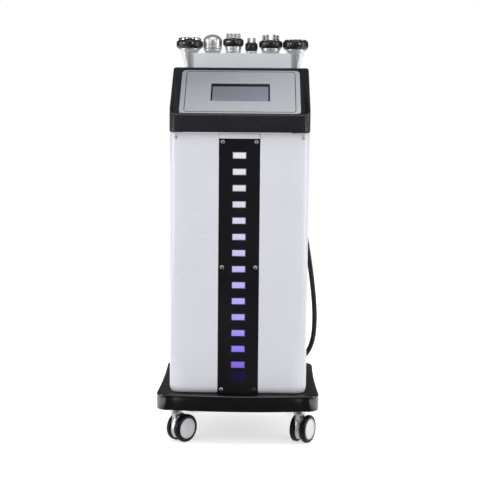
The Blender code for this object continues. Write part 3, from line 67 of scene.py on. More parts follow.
def make_camera():
    data = bpy.data.cameras.new("camera")
    data.sensor_width = SENSOR_WIDTH
    data.lens = FOCAL_PIXELS / FRAME_PIXELS * SENSOR_WIDTH
    data.clip_end = 60
    obj = into_scene("camera", data)
    across, back = CAMERA_DISTANCE * math.sin(CAMERA_YAW), CAMERA_DISTANCE * math.cos(CAMERA_YAW)
    turn = Matrix.Rotation(CAMERA_YAW, 4, 'Z') @ Matrix.Rotation(math.pi / 2 - CAMERA_PITCH, 4, 'X')
    place = Matrix.Translation((across, -back, CAMERA_HEIGHT))
    obj.matrix_world = place @ turn @ Matrix.Rotation(CAMERA_ROLL, 4, 'Z')
    bpy.context.scene.camera = obj


make_camera()


# Helpers for materials


class Look:
    """A material or world, with short calls for its nodes. A value is a number, a colour or a socket."""

    def __init__(self, name, owner=None):
        self.owner = owner or bpy.data.materials.new(name)
        self.owner.use_nodes = True
        self.nodes, self.links = self.owner.node_tree.nodes, self.owner.node_tree.links

    def feed(self, socket, value):
        if isinstance(value, bpy.types.NodeSocket):
            self.links.new(value, socket)
        else:
            socket.default_value = value

    def add(self, kind, inputs=None, out=0, **settings):
        made = self.nodes.new("ShaderNode" + kind)
        for key, value in settings.items():
            setattr(made, key, value)
        for key, value in (inputs or {}).items():
            self.feed(made.inputs[key], value)
        return made.outputs[out]

    def math(self, operation, *values):
        return self.add("Math", dict(enumerate(values)), operation=operation)

    def mix(self, factor, first, second, kind='RGBA'):
        """A mix of two colours or numbers. The kind is set first, since each kind has sockets of its own."""
        made = self.add("Mix", data_type=kind).node
        for key, value in (("Factor", factor), ("A", first), ("B", second)):
            self.feed(made.inputs[key], value)
        return made.outputs["Result"]

    def place(self, scale=(1, 1, 1)):
        return self.add("Mapping", {"Vector": self.add("TexCoord", out="Object"), "Scale": scale})

    def axes(self, source="Object"):
        """The coordinates as three numbers, in the outputs of one node."""
        return self.add("SeparateXYZ", {"Vector": self.add("TexCoord", out=source)}).node.outputs

    def grain(self, vector, scale, detail=4.0, rough=0.6):
        settings = {"Scale": scale, "Detail": detail, "Roughness": rough}
        return self.add("TexNoise", {"Vector": vector, **settings}, "Fac")

    def pits(self, vector, scale):
        return self.add("TexVoronoi", {"Vector": vector, "Scale": scale}, "Distance")

    def ranged(self, value, low, high, start=0.3, end=0.7, blend='LINEAR'):
        ends = {"From Min": start, "From Max": end, "To Min": low, "To Max": high}
        return self.add("MapRange", {"Value": value, **ends}, interpolation_type=blend)

    def ramp(self, value, *stops):
        made = self.add("ValToRGB", {"Fac": value}).node
        elements = made.color_ramp.elements
        while len(elements) < len(stops):
            elements.new(0.5)
        for element, (where, colour) in zip(elements, stops):
            element.position = where
            element.color = (*colour, 1.0)
        return made.outputs["Color"]

    def set(self, values):
        """Feeds the shader's sockets and gives the material back."""
        for key, value in values.items():
            self.feed(self.nodes["Principled BSDF"].inputs[key], value)
        return self.owner

    def bump(self, height, strength, distance, **before):
        return self.add("Bump", {"Strength": strength, "Distance": distance, "Height": height, **before})


def moulded(name, dark, light, rough, grain_size=0.0011, depth=0.00008, coat=0.0, specular=0.5):
    """Moulded or coated surface: fine grain, slow colour change and uneven gloss."""
    look = Look(name)
    vector = look.place()
    return look.set({
        "Base Color": look.ramp(look.grain(vector, 9.0, 5.0), (0.3, dark), (0.7, light)),
        "Roughness": look.ranged(look.grain(vector, 38.0, 4.0), rough * 0.86, rough * 1.16),
        "Normal": look.bump(look.grain(vector, 1.0 / grain_size, 3.0), 0.35, depth),
        "Coat Weight": coat, "Coat Roughness": 0.06, "Specular IOR Level": specular})


def metal(name, dark, light, rough, stretch=(1, 1, 1), scale=900.0, depth=0.00002, metallic=1.0):
    """Bare or plated metal: drawn or speckled grain, with a little uneven gloss."""
    look = Look(name)
    fine = look.grain(look.place(stretch), scale, 5.0, 0.7)
    return look.set({
        "Base Color": look.ramp(look.grain(look.place(), 24.0, 4.0), (0.25, dark), (0.75, light)),
        "Roughness": look.ranged(fine, rough * 0.88, rough * 1.12),
        "Normal": look.bump(fine, 0.25, depth), "Metallic": metallic})


BLACK_PLASTIC = moulded("black_plastic", (0.006, 0.006, 0.007), (0.011, 0.011, 0.013), 0.36, specular=0.3)
CONSOLE_PLASTIC = moulded("console_plastic", (0.014, 0.0143, 0.0175), (0.020, 0.0205, 0.025), 0.30,
                          0.0009, 0.00006, 0.35, 0.3)
SOFT_BLACK = moulded("soft_black", (0.010, 0.010, 0.011), (0.018, 0.018, 0.019), 0.55, 0.0014, 0.0001,
                     specular=0.3)
RUBBER = moulded("rubber", (0.012, 0.012, 0.013), (0.022, 0.022, 0.023), 0.68, 0.0016, 0.00012, specular=0.3)
LEAD_RUBBER = moulded("lead_rubber", (0.009, 0.009, 0.010), (0.016, 0.016, 0.018), 0.46, 0.0016, 0.0001,
                      specular=0.35)
WHITE_PAINT = moulded("white_paint", (0.685, 0.690, 0.745), (0.715, 0.720, 0.775), 0.24, 0.0022, 0.00001,
                      0.35)
GREY_PAINT = moulded("grey_paint", (0.56, 0.58, 0.62), (0.62, 0.64, 0.68), 0.36, 0.0008, 0.00004, 0.15)
HUB_PLASTIC = moulded("hub_plastic", (0.80, 0.82, 0.85), (0.87, 0.89, 0.92), 0.38)
RING_PLASTIC = moulded("ring_plastic", (0.74, 0.75, 0.77), (0.82, 0.83, 0.85), 0.32)
ZINC = metal("zinc", (0.52, 0.53, 0.55), (0.68, 0.69, 0.71), 0.30, scale=600.0)
CHROME = metal("chrome", (0.62, 0.63, 0.65), (0.72, 0.73, 0.75), 0.13, scale=1500.0, depth=0.000006)
STEEL = metal("screw_steel", (0.70, 0.70, 0.72), (0.84, 0.84, 0.86), 0.42)
SATIN = metal("satin_aluminium", (0.66, 0.67, 0.69), (0.80, 0.81, 0.83), 0.27, (1, 1, 6), 420.0)
CASE_METAL = metal("case_metal", (0.56, 0.57, 0.59), (0.72, 0.73, 0.75), 0.34, (8, 1, 1), 300.0)
BOARD = moulded("circuit_board", (0.012, 0.12, 0.05), (0.02, 0.17, 0.07), 0.42)


# Helpers for shapes


def add_object(name, mesh, looks, body="root", place=None):
    """Adds a piece that rides a body. With a place, its mesh and its material are in that frame."""
    obj = into_scene(name, mesh)
    for look in looks if isinstance(looks, (list, tuple)) else [looks]:
        mesh.materials.append(look)
    if place:
        obj.matrix_world = place
    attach(obj, body)
    return obj


def shade(mesh, angle):
    """Smooth but for edges sharper than the angle."""
    mesh.shade_smooth()
    mesh.set_sharp_from_angle(angle=math.radians(angle))


def finished(name, bm, angle=35.0):
    bmesh.ops.recalc_face_normals(bm, faces=bm.faces)
    mesh = bpy.data.meshes.new(name)
    bm.to_mesh(mesh)
    bm.free()
    shade(mesh, angle)
    return mesh


def add_rings(bm, rings, capped=True, slot=0):
    """Skins rings of equal length."""
    loops = [[bm.verts.new(p) for p in ring] for ring in rings]
    faces = []
    for low, high in zip(loops, loops[1:]):
        count = len(low)
        for i in range(count):
            j = (i + 1) % count
            faces.append(bm.faces.new((low[i], low[j], high[j], high[i])))
    if capped:
        faces += [bm.faces.new(loops[0][::-1]), bm.faces.new(loops[-1])]
    for face in faces:
        face.material_index = slot


def turns(count):
    """Angles evenly spaced round a full turn."""
    return [2 * math.pi * i / count for i in range(count)]


def add_lathe(bm, profile, matrix=Matrix.Identity(4), facets=48, slot=0, closed=True):
    """Turned body about local Z; profile points are (radius, height), a zero radius is a pole."""
    rings = []
    for radius, height in profile:
        if radius <= 0:
            rings.append([bm.verts.new(matrix @ Vector((0, 0, height)))])
        else:
            rings.append([bm.verts.new(matrix @ Vector((radius * math.cos(a), radius * math.sin(a), height)))
                          for a in turns(facets)])
    pairs = list(zip(rings, rings[1:]))
    if closed and profile[0][0] > 0 and profile[-1][0] > 0:
        pairs.append((rings[-1], rings[0]))
    for low, high in pairs:
        for i in range(facets):
            j = (i + 1) % facets
            corners = [low[i % len(low)], low[j % len(low)], high[j % len(high)], high[i % len(high)]]
            unique = list(dict.fromkeys(corners))
            if len(unique) > 2:
                bm.faces.new(unique).material_index = slot


def rounded_profile(points, radius, steps=3):
    """Rounds the inner corners of a turned profile with short arcs of about the radius given."""
    result = [points[0]]
    for before, here, after in zip(points, points[1:], points[2:]):
        a, b, c = Vector(before), Vector(here), Vector(after)
        reach = min(radius, (a - b).length * 0.45, (c - b).length * 0.45)
        if reach < 1e-6 or here[0] <= 0:
            result.append(here)
            continue
        start, end = b + (a - b).normalized() * reach, b + (c - b).normalized() * reach
        for i in range(steps + 1):
            t = i / steps
            result.append(tuple(start.lerp(b, t).lerp(b.lerp(end, t), t)))
    result.append(points[-1])
    return result


def rounded_rectangle(width, height, radius, steps=6):
    x, y, points = width / 2 - radius, height / 2 - radius, []
    for quarter, (side, end) in enumerate(((1, 1), (-1, 1), (-1, -1), (1, -1))):
        points += arc(side * x, end * y, radius, 90 * quarter, 90 / steps, steps + 1)
    return points


def add_sections(bm, sections, place=Matrix.Identity(4), slot=0):
    """Skins outlines that each lie at a level of their own."""
    add_rings(bm, [[place @ Vector((x, y, level)) for x, y in outline] for outline, level in sections],
              slot=slot)


def add_slab(bm, width, height, radius, low, high, edge, matrix, slot=0, steps=6):
    """A rounded rectangular slab on a frame, from low to high along its Z, its top edge rounded by edge."""
    levels = [(0.0, low), (0.0, high - edge)]
    if edge:
        levels += [(edge * 0.3, high - edge * 0.3), (edge, high)]
    sections = [(rounded_rectangle(width - inset * 2, height - inset * 2, max(radius - inset, 0.0001), steps),
                 level)
                for inset, level in levels]
    add_sections(bm, sections, matrix, slot)


def add_tube(bm, points, radii, facets):
    """A tube along points with a radius for each, its frame carried along without twist."""
    points = [Vector(p) for p in points]
    side = (points[1] - points[0]).normalized().orthogonal().normalized()
    rings = []
    for i, point in enumerate(points):
        ahead = (points[min(i + 1, len(points) - 1)] - points[max(i - 1, 0)]).normalized()
        side = (side - ahead * side.dot(ahead)).normalized()
        up = ahead.cross(side)
        rings.append([point + (side * math.cos(a) + up * math.sin(a)) * radii[i]
                      for a in turns(facets)])
    add_rings(bm, rings)


def turned_about_x(angle):
    def frame_at(x, y, z):
        return Matrix.Translation((x, y, z)) @ Matrix.Rotation(angle, 4, 'X')
    return frame_at


# Frames with Z along +Y, and with Z along -Y. On the front the latter has X to the right, Y up and Z out.
along_y, facing_front = turned_about_x(-math.pi / 2), turned_about_x(math.pi / 2)


def facing_rear(x, y, z):
    """Frame on the rear: X to the right as seen from behind, Y up and Z out."""
    return Matrix.Translation((x, y, z)) @ Matrix(((-1, 0, 0, 0), (0, 0, 1, 0), (0, 1, 0, 0), (0, 0, 0, 1)))


def add_piece(name, bm, looks, *replaced, body="root", place=None, angle=35.0):
    """Makes a piece of the mesh in the CAD nodes' stead."""
    piece = add_object(name, finished(name, bm, angle), looks, body, place)
    if replaced:
        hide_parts(*replaced)
    return piece


def arc(x, y, radius, start, step, count, radius_y=None):
    """Points of an arc about a centre, its angles in degrees."""
    angles = [math.radians(start + step * i) for i in range(count)]
    return [(x + radius * math.cos(a), y + (radius_y or radius) * math.sin(a)) for a in angles]


def add_sheet(bm, outlines):
    """Skins a folded sheet: each outline is its outer edge, and then its inner edge taken backwards."""
    add_rings(bm, outlines, capped=False)
    count = len(outlines[0])
    bm.verts.ensure_lookup_table()
    verts = list(bm.verts)
    for loop in (verts[:count], verts[-count:]):
        for i in range(count // 2 - 1):
            bm.faces.new((loop[i], loop[i + 1], loop[count - 2 - i], loop[count - 1 - i]))


# Swaps Y and Z, for outlines drawn in the X-Z plane and given depth along Y.
UPRIGHT = Matrix(((1, 0, 0, 0), (0, 0, 1, 0), (0, 1, 0, 0), (0, 0, 0, 1)))


def add_prism(bm, outline, levels, place=Matrix.Identity(4), slot=0):
    add_sections(bm, [(outline, level) for level in levels], place, slot)


def around(count, radius, start=0.0):
    """Centres evenly spaced about the origin, as frames."""
    return [Matrix.Translation((radius * math.cos(a), radius * math.sin(a), 0))
            for a in (math.radians(start) + turn for turn in turns(count))]


def spokes(count):
    """Frames turned evenly about Z."""
    return [Matrix.Rotation(a, 4, 'Z') for a in turns(count)]


def rows_of_ribs(start, pitch, count, wide, widening, heights):
    """The profile points of a ribbed boot."""
    points = []
    for i in range(count):
        base, size = start + pitch * i, wide + widening * i
        points += [(size, base), (size, base + heights[0]), (size - 0.0008, base + heights[1]),
                   (size - 0.0008, base + heights[2])]
    return points


# Lead

LEAD_RADIUS, LEAD_FACETS, LEAD_PATH_POINTS = 0.0080, 16, 240
LEAD_RIBS, LEAD_RIB_WAVE = 168, (1.0, 0.93, 0.80, 0.93)
LEAD_ROUTE = (
    (0.1535, 0.1800, 0.8647), (0.1535, 0.1800, 0.8487), (0.1540, 0.1804, 0.8150), (0.1562, 0.1820, 0.7500),
    (0.1610, 0.1850, 0.6850), (0.1690, 0.1885, 0.6250), (0.1800, 0.1915, 0.5700), (0.1925, 0.1940, 0.5150),
    (0.2030, 0.1955, 0.4550), (0.2125, 0.1965, 0.3900), (0.2195, 0.1970, 0.3250), (0.2215, 0.1970, 0.2700),
    (0.2170, 0.1965, 0.2170), (0.2030, 0.1950, 0.1790), (0.1800, 0.1925, 0.1570), (0.1540, 0.1890, 0.1506),
    (0.1260, 0.1830, 0.1515), (0.1010, 0.1755, 0.1610), (0.0825, 0.1680, 0.1820), (0.0728, 0.1618, 0.2080),
    (0.0702, 0.1594, 0.2330), (0.0700, 0.1591, 0.2537), (0.0700, 0.1591, 0.2697),
)


def between(a, b, start, end, t):
    """The point at t on the line that is at a for t = start and at b for t = end."""
    return a * ((end - t) / (end - start)) + b * ((t - start) / (end - start))


def smooth_route(points, count, steps=24):
    """Evenly spaced points on a centripetal curve through the route, as in the part's source."""
    points = [Vector(p) for p in points]
    ends = [points[0] * 2 - points[1]] + points + [points[-1] * 2 - points[-2]]
    dense = []
    for i in range(1, len(ends) - 2):
        p0, p1, p2, p3 = ends[i - 1:i + 3]
        t1 = (p1 - p0).length ** 0.5
        t2 = t1 + (p2 - p1).length ** 0.5
        t3 = t2 + (p3 - p2).length ** 0.5
        for k in range(steps):
            t = t1 + (t2 - t1) * k / steps
            middle = between(p1, p2, t1, t2, t)
            first = between(between(p0, p1, 0, t1, t), middle, 0, t2, t)
            second = between(middle, between(p2, p3, t2, t3, t), t1, t3, t)
            dense.append(between(first, second, t1, t2, t))
    dense.append(points[-1])
    travelled = [0.0]
    for a, b in zip(dense, dense[1:]):
        travelled.append(travelled[-1] + (b - a).length)
    result, j = [], 0
    for i in range(count):
        want = travelled[-1] * i / (count - 1)
        while j < len(dense) - 2 and travelled[j + 1] < want:
            j += 1
        result.append(dense[j].lerp(dense[j + 1], (want - travelled[j]) / (travelled[j + 1] - travelled[j])))
    return result, travelled[-1]


def make_lead():
    """The ribbed lead, from the handpiece's tail at its upper end down to its plug."""
    count = LEAD_RIBS * len(LEAD_RIB_WAVE) + 1
    points, total = smooth_route(LEAD_ROUTE, count)
    radii = [LEAD_RADIUS * LEAD_RIB_WAVE[i % len(LEAD_RIB_WAVE)] for i in range(count)]
    bm = bmesh.new()
    add_tube(bm, points, radii, LEAD_FACETS)
    mesh = finished("lead_hose", bm, 70)
    mesh.materials.append(LEAD_RUBBER)
    lead = into_scene("lead_hose", mesh)
    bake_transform(lead)
    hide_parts("handpiece_6_lead")
    return lead, total, smooth_route(LEAD_ROUTE, LEAD_PATH_POINTS)[0]


lead, lead_length, lead_path = make_lead()


# Base

BASE_WIDTH, BASE_DEPTH = 0.431, 0.444
BASE_UNDERSIDE, BASE_TOP, BASE_WALL = 0.100, 0.142, 0.004
BASE_LOBE_RADIUS, BASE_BULGE, BASE_WAIST, BASE_EDGE = 0.035, 0.011, 0.003, 0.004
BASE_WAIST_REACH, BASE_LOBE_START = 0.055, -80


def base_outline(inset):
    """Plan of the base, finer than the solid's: round lobes, a bulging front and back, waisted sides."""
    half_width, half_depth = BASE_WIDTH / 2 - inset, BASE_DEPTH / 2 - inset
    radius = BASE_LOBE_RADIUS - inset
    lobe_x, lobe_y = half_width - radius, half_depth - BASE_BULGE - radius
    reach, waist_end = lobe_x - radius / 2, half_depth - BASE_WAIST_REACH
    front = [(reach * i / 10, -half_depth + BASE_BULGE * (i / 10) ** 2) for i in range(11)]
    lobe = arc(lobe_x, -lobe_y, radius, BASE_LOBE_START, 8, 11)
    last_x, last_y = lobe[0]
    for t in (0.3, 0.65):
        x = reach + (last_x - reach) * t
        front.append((x, front[10][1] + (last_y - front[10][1]) * t + 0.0016 * math.sin(math.pi * t)))
    side = [(half_width - BASE_WAIST * (1 - (y / waist_end) ** 2), y)
            for y in (-waist_end * (1 - i / 6) for i in range(6))]
    quarter = front + lobe + side
    right = quarter + [(half_width - BASE_WAIST, 0)] + [(x, -y) for x, y in reversed(quarter)]
    return right + [(-x, y) for x, y in reversed(right) if x != 0]


def base_material(name, coat):
    """Moulded base: a leather-like grain, under a coat on its sides."""
    look = Look(name)
    vector = look.place()
    dark, light = (0.0015, 0.0015, 0.0021), (0.0032, 0.0032, 0.0042)
    return look.set({
        "Base Color": look.ramp(look.grain(vector, 7.0, 5.0), (0.3, dark), (0.7, light)),
        "Roughness": look.ranged(look.grain(vector, 40.0, 4.0), 0.29, 0.35),
        "Normal": look.bump(look.pits(vector, 620.0), 0.28, 0.00012), "Specular IOR Level": 0.3,
        "Coat Weight": coat, "Coat Roughness": 0.12, "Coat IOR": 1.7})


def make_base():
    under, inner_top, wall, edge = BASE_UNDERSIDE, BASE_TOP - BASE_WALL, BASE_WALL, BASE_EDGE
    levels = [(wall, inner_top), (wall, under + 0.0004), (wall - 0.0005, under), (0.0012, under),
              (0.0003, under + 0.0004), (0, under + 0.0014)]
    levels += [(edge * (1 - math.cos(a)), BASE_TOP - edge * (1 - math.sin(a)))
               for a in (math.radians(18 * i) for i in range(6))]
    bm = bmesh.new()
    add_sections(bm, [(base_outline(inset), height) for inset, height in levels])
    bm.normal_update()
    for face in bm.faces:
        face.material_index = int(face.normal.z > 0.9)
    looks = [base_material("base_plastic", 1.0), base_material("base_top_plastic", 0.0)]
    add_piece("base_cover", bm, looks, "base_shell", angle=50)


make_base()


# Tower

TOWER_WIDTH, TOWER_FRONT, TOWER_REAR, TOWER_TOP = 0.362, -0.192, 0.135, 0.828
TOWER_WALL, FRONT_RADIUS, FRONT_SPREAD, REAR_RADIUS = 0.003, 0.024, 0.046, 0.016
PILLOW_HEIGHT, PILLOW_INSET, COVER_SEAM, COVER_INNER_SEAM = 0.020, 0.009, 0.0018, 0.0002
PANEL_WIDTH, PANEL_THICKNESS, PANEL_SEAM, REAR_OPENING = 0.105, 0.0015, 0.001, 0.300
TOWER_BOTTOM = BASE_TOP + GAP


def cover_path(inset, seam):
    """Open plan path of the right cover, from the front seam round to the rear flange."""
    x_side = TOWER_WIDTH / 2 - inset
    y_front, y_rear = TOWER_FRONT + inset, TOWER_REAR - inset
    front_radius, rear_radius, spread = FRONT_RADIUS - inset, REAR_RADIUS - inset, FRONT_SPREAD - inset
    start = PANEL_WIDTH / 2 + PANEL_SEAM
    points = [(start, y_front + seam), (start + seam * 0.3, y_front + seam * 0.3), (start + seam, y_front)]
    points += [(start + (x_side - spread - start) * t, y_front) for t in (0.12, 0.5, 0.88)]
    points += arc(x_side - spread, y_front + front_radius, spread, -90, 5, 19, front_radius)
    points += [(x_side, y_front + front_radius + (y_rear - rear_radius - y_front - front_radius) * t)
               for t in (0.25, 0.5, 0.75)]
    points += arc(x_side - rear_radius, y_rear - rear_radius, rear_radius, 0, 10, 10)
    return points + [(REAR_OPENING / 2, y_rear)]


def make_covers():
    levels = [(PILLOW_INSET, TOWER_BOTTOM)]
    for i in range(1, 9):
        angle = math.radians(90 * i / 8)
        levels.append((PILLOW_INSET * (1 - math.sin(angle)),
                       TOWER_BOTTOM + PILLOW_HEIGHT * (1 - math.cos(angle))))
    levels += [(0, z) for z in (0.25, 0.45, 0.65, TOWER_TOP)]
    for side, sign in (("left", -1), ("right", 1)):
        bm = bmesh.new()
        add_sheet(bm, [[(sign * x, y, height) for x, y in cover_path(inset, COVER_SEAM)
                        + cover_path(inset + TOWER_WALL, COVER_INNER_SEAM)[::-1]]
                       for inset, height in levels])
        add_piece("tower_shell_" + side, bm, WHITE_PAINT, "tower_cover_" + side, angle=55)


make_covers()


# Centre panel with its light column

PANEL_FRONT = TOWER_FRONT + TOWER_WALL - PANEL_THICKNESS
WINDOW_COUNT, WINDOW_WIDTH, WINDOW_HEIGHT, WINDOW_RIM = 14, 0.036, 0.018, 0.0015
WINDOW_LOWEST, WINDOW_HIGHEST = 0.220, 0.770
# Where the centre panel's painted violet glow sits: centre, half width and softness, across and then up.
PAINTED_GLOW_X, PAINTED_GLOW_Z = (0.002, 0.026, 0.016), (0.188, 0.019, 0.012)
SCREW_X, SCREW_HEIGHTS, COVER_SCREW_X, COVER_SCREW_Z = 0.0436, (0.1535, 0.4785, 0.8050), 0.1655, 0.8165
BAND_BOTTOM, BAND_TOP = 0.8135, TOWER_TOP - 0.0006


def inside(look, value, centre, half, soft, blend='LINEAR'):
    """One near the centre, falling to zero at half the width given."""
    away = look.math('ABSOLUTE', look.math('SUBTRACT', value, centre))
    return look.ranged(away, 1.0, 0.0, half - soft, half, blend)


def panel_material():
    """Gloss black acrylic, with a painted violet glow near its foot, standing for light from the lamps behind
    it.
    """
    look = Look("panel_acrylic")
    vector, axes = look.place(), look.axes()
    smears = look.grain(look.place((1, 1, 0.2)), 30.0, 5.0)
    painted_glow = look.math('MULTIPLY', inside(look, axes["X"], *PAINTED_GLOW_X, 'SMOOTHSTEP'),
                      inside(look, axes["Z"], *PAINTED_GLOW_Z, 'SMOOTHSTEP'))
    dark, light = (0.0085, 0.0085, 0.0105), (0.0125, 0.0125, 0.0150)
    return look.set({
        "Base Color": look.ramp(look.grain(vector, 6.0, 4.0), (0.3, dark), (0.7, light)),
        "Roughness": look.ranged(smears, 0.08, 0.15), "Specular IOR Level": 0.25,
        "Normal": look.bump(look.grain(vector, 14.0, 2.0), 0.05, 0.0006),
        # Painted glow: a faint violet emission in the patch near the panel's foot.
        "Emission Color": look.ramp(painted_glow, (0.0, (0, 0, 0)), (1.0, (0.005, 0.002, 0.056))),
        "Emission Strength": 0.5})


def light_bar_material():
    """Milky acrylic: silvery where its lamp is dim, lilac to violet where it is lit from behind."""
    look = Look("light_bar_acrylic")
    height = look.ranged(look.axes()["Z"], 0.0, 1.0, WINDOW_LOWEST, WINDOW_HIGHEST)
    cells = look.grain(look.add("TexCoord", out="Object"), 700.0, 3.0)
    return look.set({
        "Base Color": look.ramp(height, (0.0, (0.10, 0.07, 0.24)), (0.35, (0.36, 0.31, 0.60)),
                                (0.70, (0.66, 0.65, 0.76)), (1.0, (0.80, 0.80, 0.83))),
        "Emission Color": look.ramp(height, (0.0, (0.20, 0.08, 0.85)), (0.22, (0.28, 0.17, 0.80)),
                                    (0.50, (0.16, 0.12, 0.34)), (0.80, (0.02, 0.02, 0.03))),
        "Emission Strength": 0.75, "Roughness": look.ranged(cells, 0.24, 0.36),
        "Normal": look.bump(cells, 0.2, 0.00006), "Coat Weight": 0.3})


def make_light_bars():
    """The milky bars that fill the windows, each with a bright rim."""
    bm = bmesh.new()
    thick = PANEL_THICKNESS
    for i in range(WINDOW_COUNT):
        z = WINDOW_LOWEST + (WINDOW_HIGHEST - WINDOW_LOWEST) / (WINDOW_COUNT - 1) * i
        place = facing_front(0, PANEL_FRONT + thick, z)
        for less, corner, low, high, edge, slot, steps in (
                (0.0006, 0.0003, 0.0, thick + 0.0004, 0.0003, 1, 2),
                (WINDOW_RIM * 2, 0.0015, thick, thick + 0.0009, 0.0004, 0, 4)):
            add_slab(bm, WINDOW_WIDTH - less, WINDOW_HEIGHT - less, corner, low, high, edge, place, slot,
                     steps)
    add_piece("light_bars", bm, [light_bar_material(), SATIN])


def dress(look, *names):
    """Gives the CAD nodes named a material, with their solids kept."""
    for name in names:
        nodes[name].data.materials.clear()
        nodes[name].data.materials.append(look)


make_light_bars()
dress(panel_material(), "centre_panel")


def add_screw(bm, place, radius=0.0052, proud=0.0022, slot=0):
    """A pan-head screw with a cross recess drawn as a dark mark of painted shade on its top, standing on
    local Z.
    """
    head = [(0, 0), (radius, 0), (radius, proud * 0.35), (radius * 0.86, proud * 0.78),
            (radius * 0.55, proud)]
    arm, wide = radius * 0.62, radius * 0.13
    add_lathe(bm, rounded_profile(head, radius * 0.12) + [(radius * 0.34, proud), (0, proud * 0.98)], place,
              32, slot)
    for turn in (math.radians(20), math.radians(110)):
        cross = place @ Matrix.Rotation(turn, 4, 'Z')
        ring = [(-arm, -wide), (arm, -wide), (arm, wide), (-arm, wide)]
        add_prism(bm, ring, (proud * 0.9, proud * 1.015), cross, slot + 1)


# Dark colour for the screws' cross recesses: painted shade in the recess.
RECESS_PAINTED_SHADE = moulded("screw_recess_shade", (0.02, 0.02, 0.02), (0.05, 0.05, 0.05), 0.6)
# Black for the lower right panel screw: painted shade.
SHADED_SCREW_BLACK = moulded("shaded_screw_black", (0.010, 0.010, 0.011), (0.022, 0.022, 0.024), 0.40)


def make_panel_screws():
    """The panel's screws, the lower right one black as painted shade, and the covers' screws on their curve.
    """
    bm = bmesh.new()
    for x in (-SCREW_X, SCREW_X):
        for z in SCREW_HEIGHTS:
            # The lower right screw takes the black look: painted shade, for a screw that lies unlit.
            add_screw(bm, facing_front(x, PANEL_FRONT, z), slot=2 if x > 0 and z == SCREW_HEIGHTS[0] else 0)
    add_piece("panel_screws", bm, [STEEL, RECESS_PAINTED_SHADE, SHADED_SCREW_BLACK, RECESS_PAINTED_SHADE])
    bm = bmesh.new()
    across = (COVER_SCREW_X - TOWER_WIDTH / 2 + FRONT_SPREAD) / FRONT_SPREAD
    along = math.sqrt(1 - across ** 2)
    lean = math.atan2(across / FRONT_SPREAD, along / FRONT_RADIUS)
    for side in (-1, 1):
        place = facing_front(side * COVER_SCREW_X, TOWER_FRONT + FRONT_RADIUS * (1 - along) + 0.0003,
                             COVER_SCREW_Z)
        add_screw(bm, place @ Matrix.Rotation(side * lean, 4, 'Y'), 0.0050, 0.0020)
    add_piece("cover_screws", bm, [STEEL, RECESS_PAINTED_SHADE])


make_panel_screws()


def make_top_band():
    """White band that closes the tower above the centre panel."""
    bm = bmesh.new()
    place = facing_front(0, PANEL_FRONT, (BAND_TOP + BAND_BOTTOM) / 2)
    add_slab(bm, PANEL_WIDTH + 0.0014, BAND_TOP - BAND_BOTTOM, 0.0004, 0, PANEL_FRONT - TOWER_FRONT, 0.0003,
             place, steps=3)
    add_piece("top_band", bm, WHITE_PAINT)


make_top_band()


# Console

CONSOLE_WIDTH, CONSOLE_FRONT, CONSOLE_REAR, CONSOLE_BOTTOM = 0.365, -0.205, 0.140, TOWER_TOP + GAP
CONSOLE_SKIRT, CONSOLE_RUN, CONSOLE_RISE, CONSOLE_RIDGE, CONSOLE_BACK = 0.046, 0.155, 0.129, 0.014, 0.102
CONSOLE_WALL, CONSOLE_EDGE, CONSOLE_CORNER, CORNER_STEPS = 0.004, 0.009, 0.034, 12
HOLLOW_TOP, HOLLOW_RIDGE, HOLLOW_BACK, HOLLOW_SKIRT = 0.999, (-0.0382, -0.0485), 0.0995, 0.0443
FASCIA_WIDTH, FASCIA_LENGTH, FASCIA_THICKNESS = 0.316, 0.184, 0.0022
FASCIA_CORNER, FASCIA_START = 0.014, 0.0045
SCREEN_WIDTH, SCREEN_LENGTH, SCREEN_CENTRE = 0.155, 0.076, 0.094
FASCIA_CENTRE = FASCIA_START + FASCIA_LENGTH / 2

# X across, Y up the slope from the skirt's top edge, Z out of the face.
SLOPE_FRAME = (Matrix.Translation((0, CONSOLE_FRONT, CONSOLE_BOTTOM + CONSOLE_SKIRT))
               @ Matrix.Rotation(math.atan2(CONSOLE_RISE, CONSOLE_RUN), 4, 'X'))


def cut_and_bake(obj, cutters):
    """Applies an object's modifiers and the cuts to its mesh, and removes the cutters."""
    for cutter in cutters:
        step = obj.modifiers.new("cut", 'BOOLEAN')
        step.operation, step.solver, step.object = 'DIFFERENCE', 'EXACT', cutter
    bpy.context.view_layer.update()
    graph = bpy.context.evaluated_depsgraph_get()
    mesh = bpy.data.meshes.new_from_object(obj.evaluated_get(graph))
    obj.modifiers.clear()
    for look in obj.data.materials:
        if not mesh.materials:
            mesh.materials.append(look)
    obj.data = mesh
    for cutter in cutters:
        bpy.data.objects.remove(cutter, do_unlink=True)
    shade(mesh, 32)


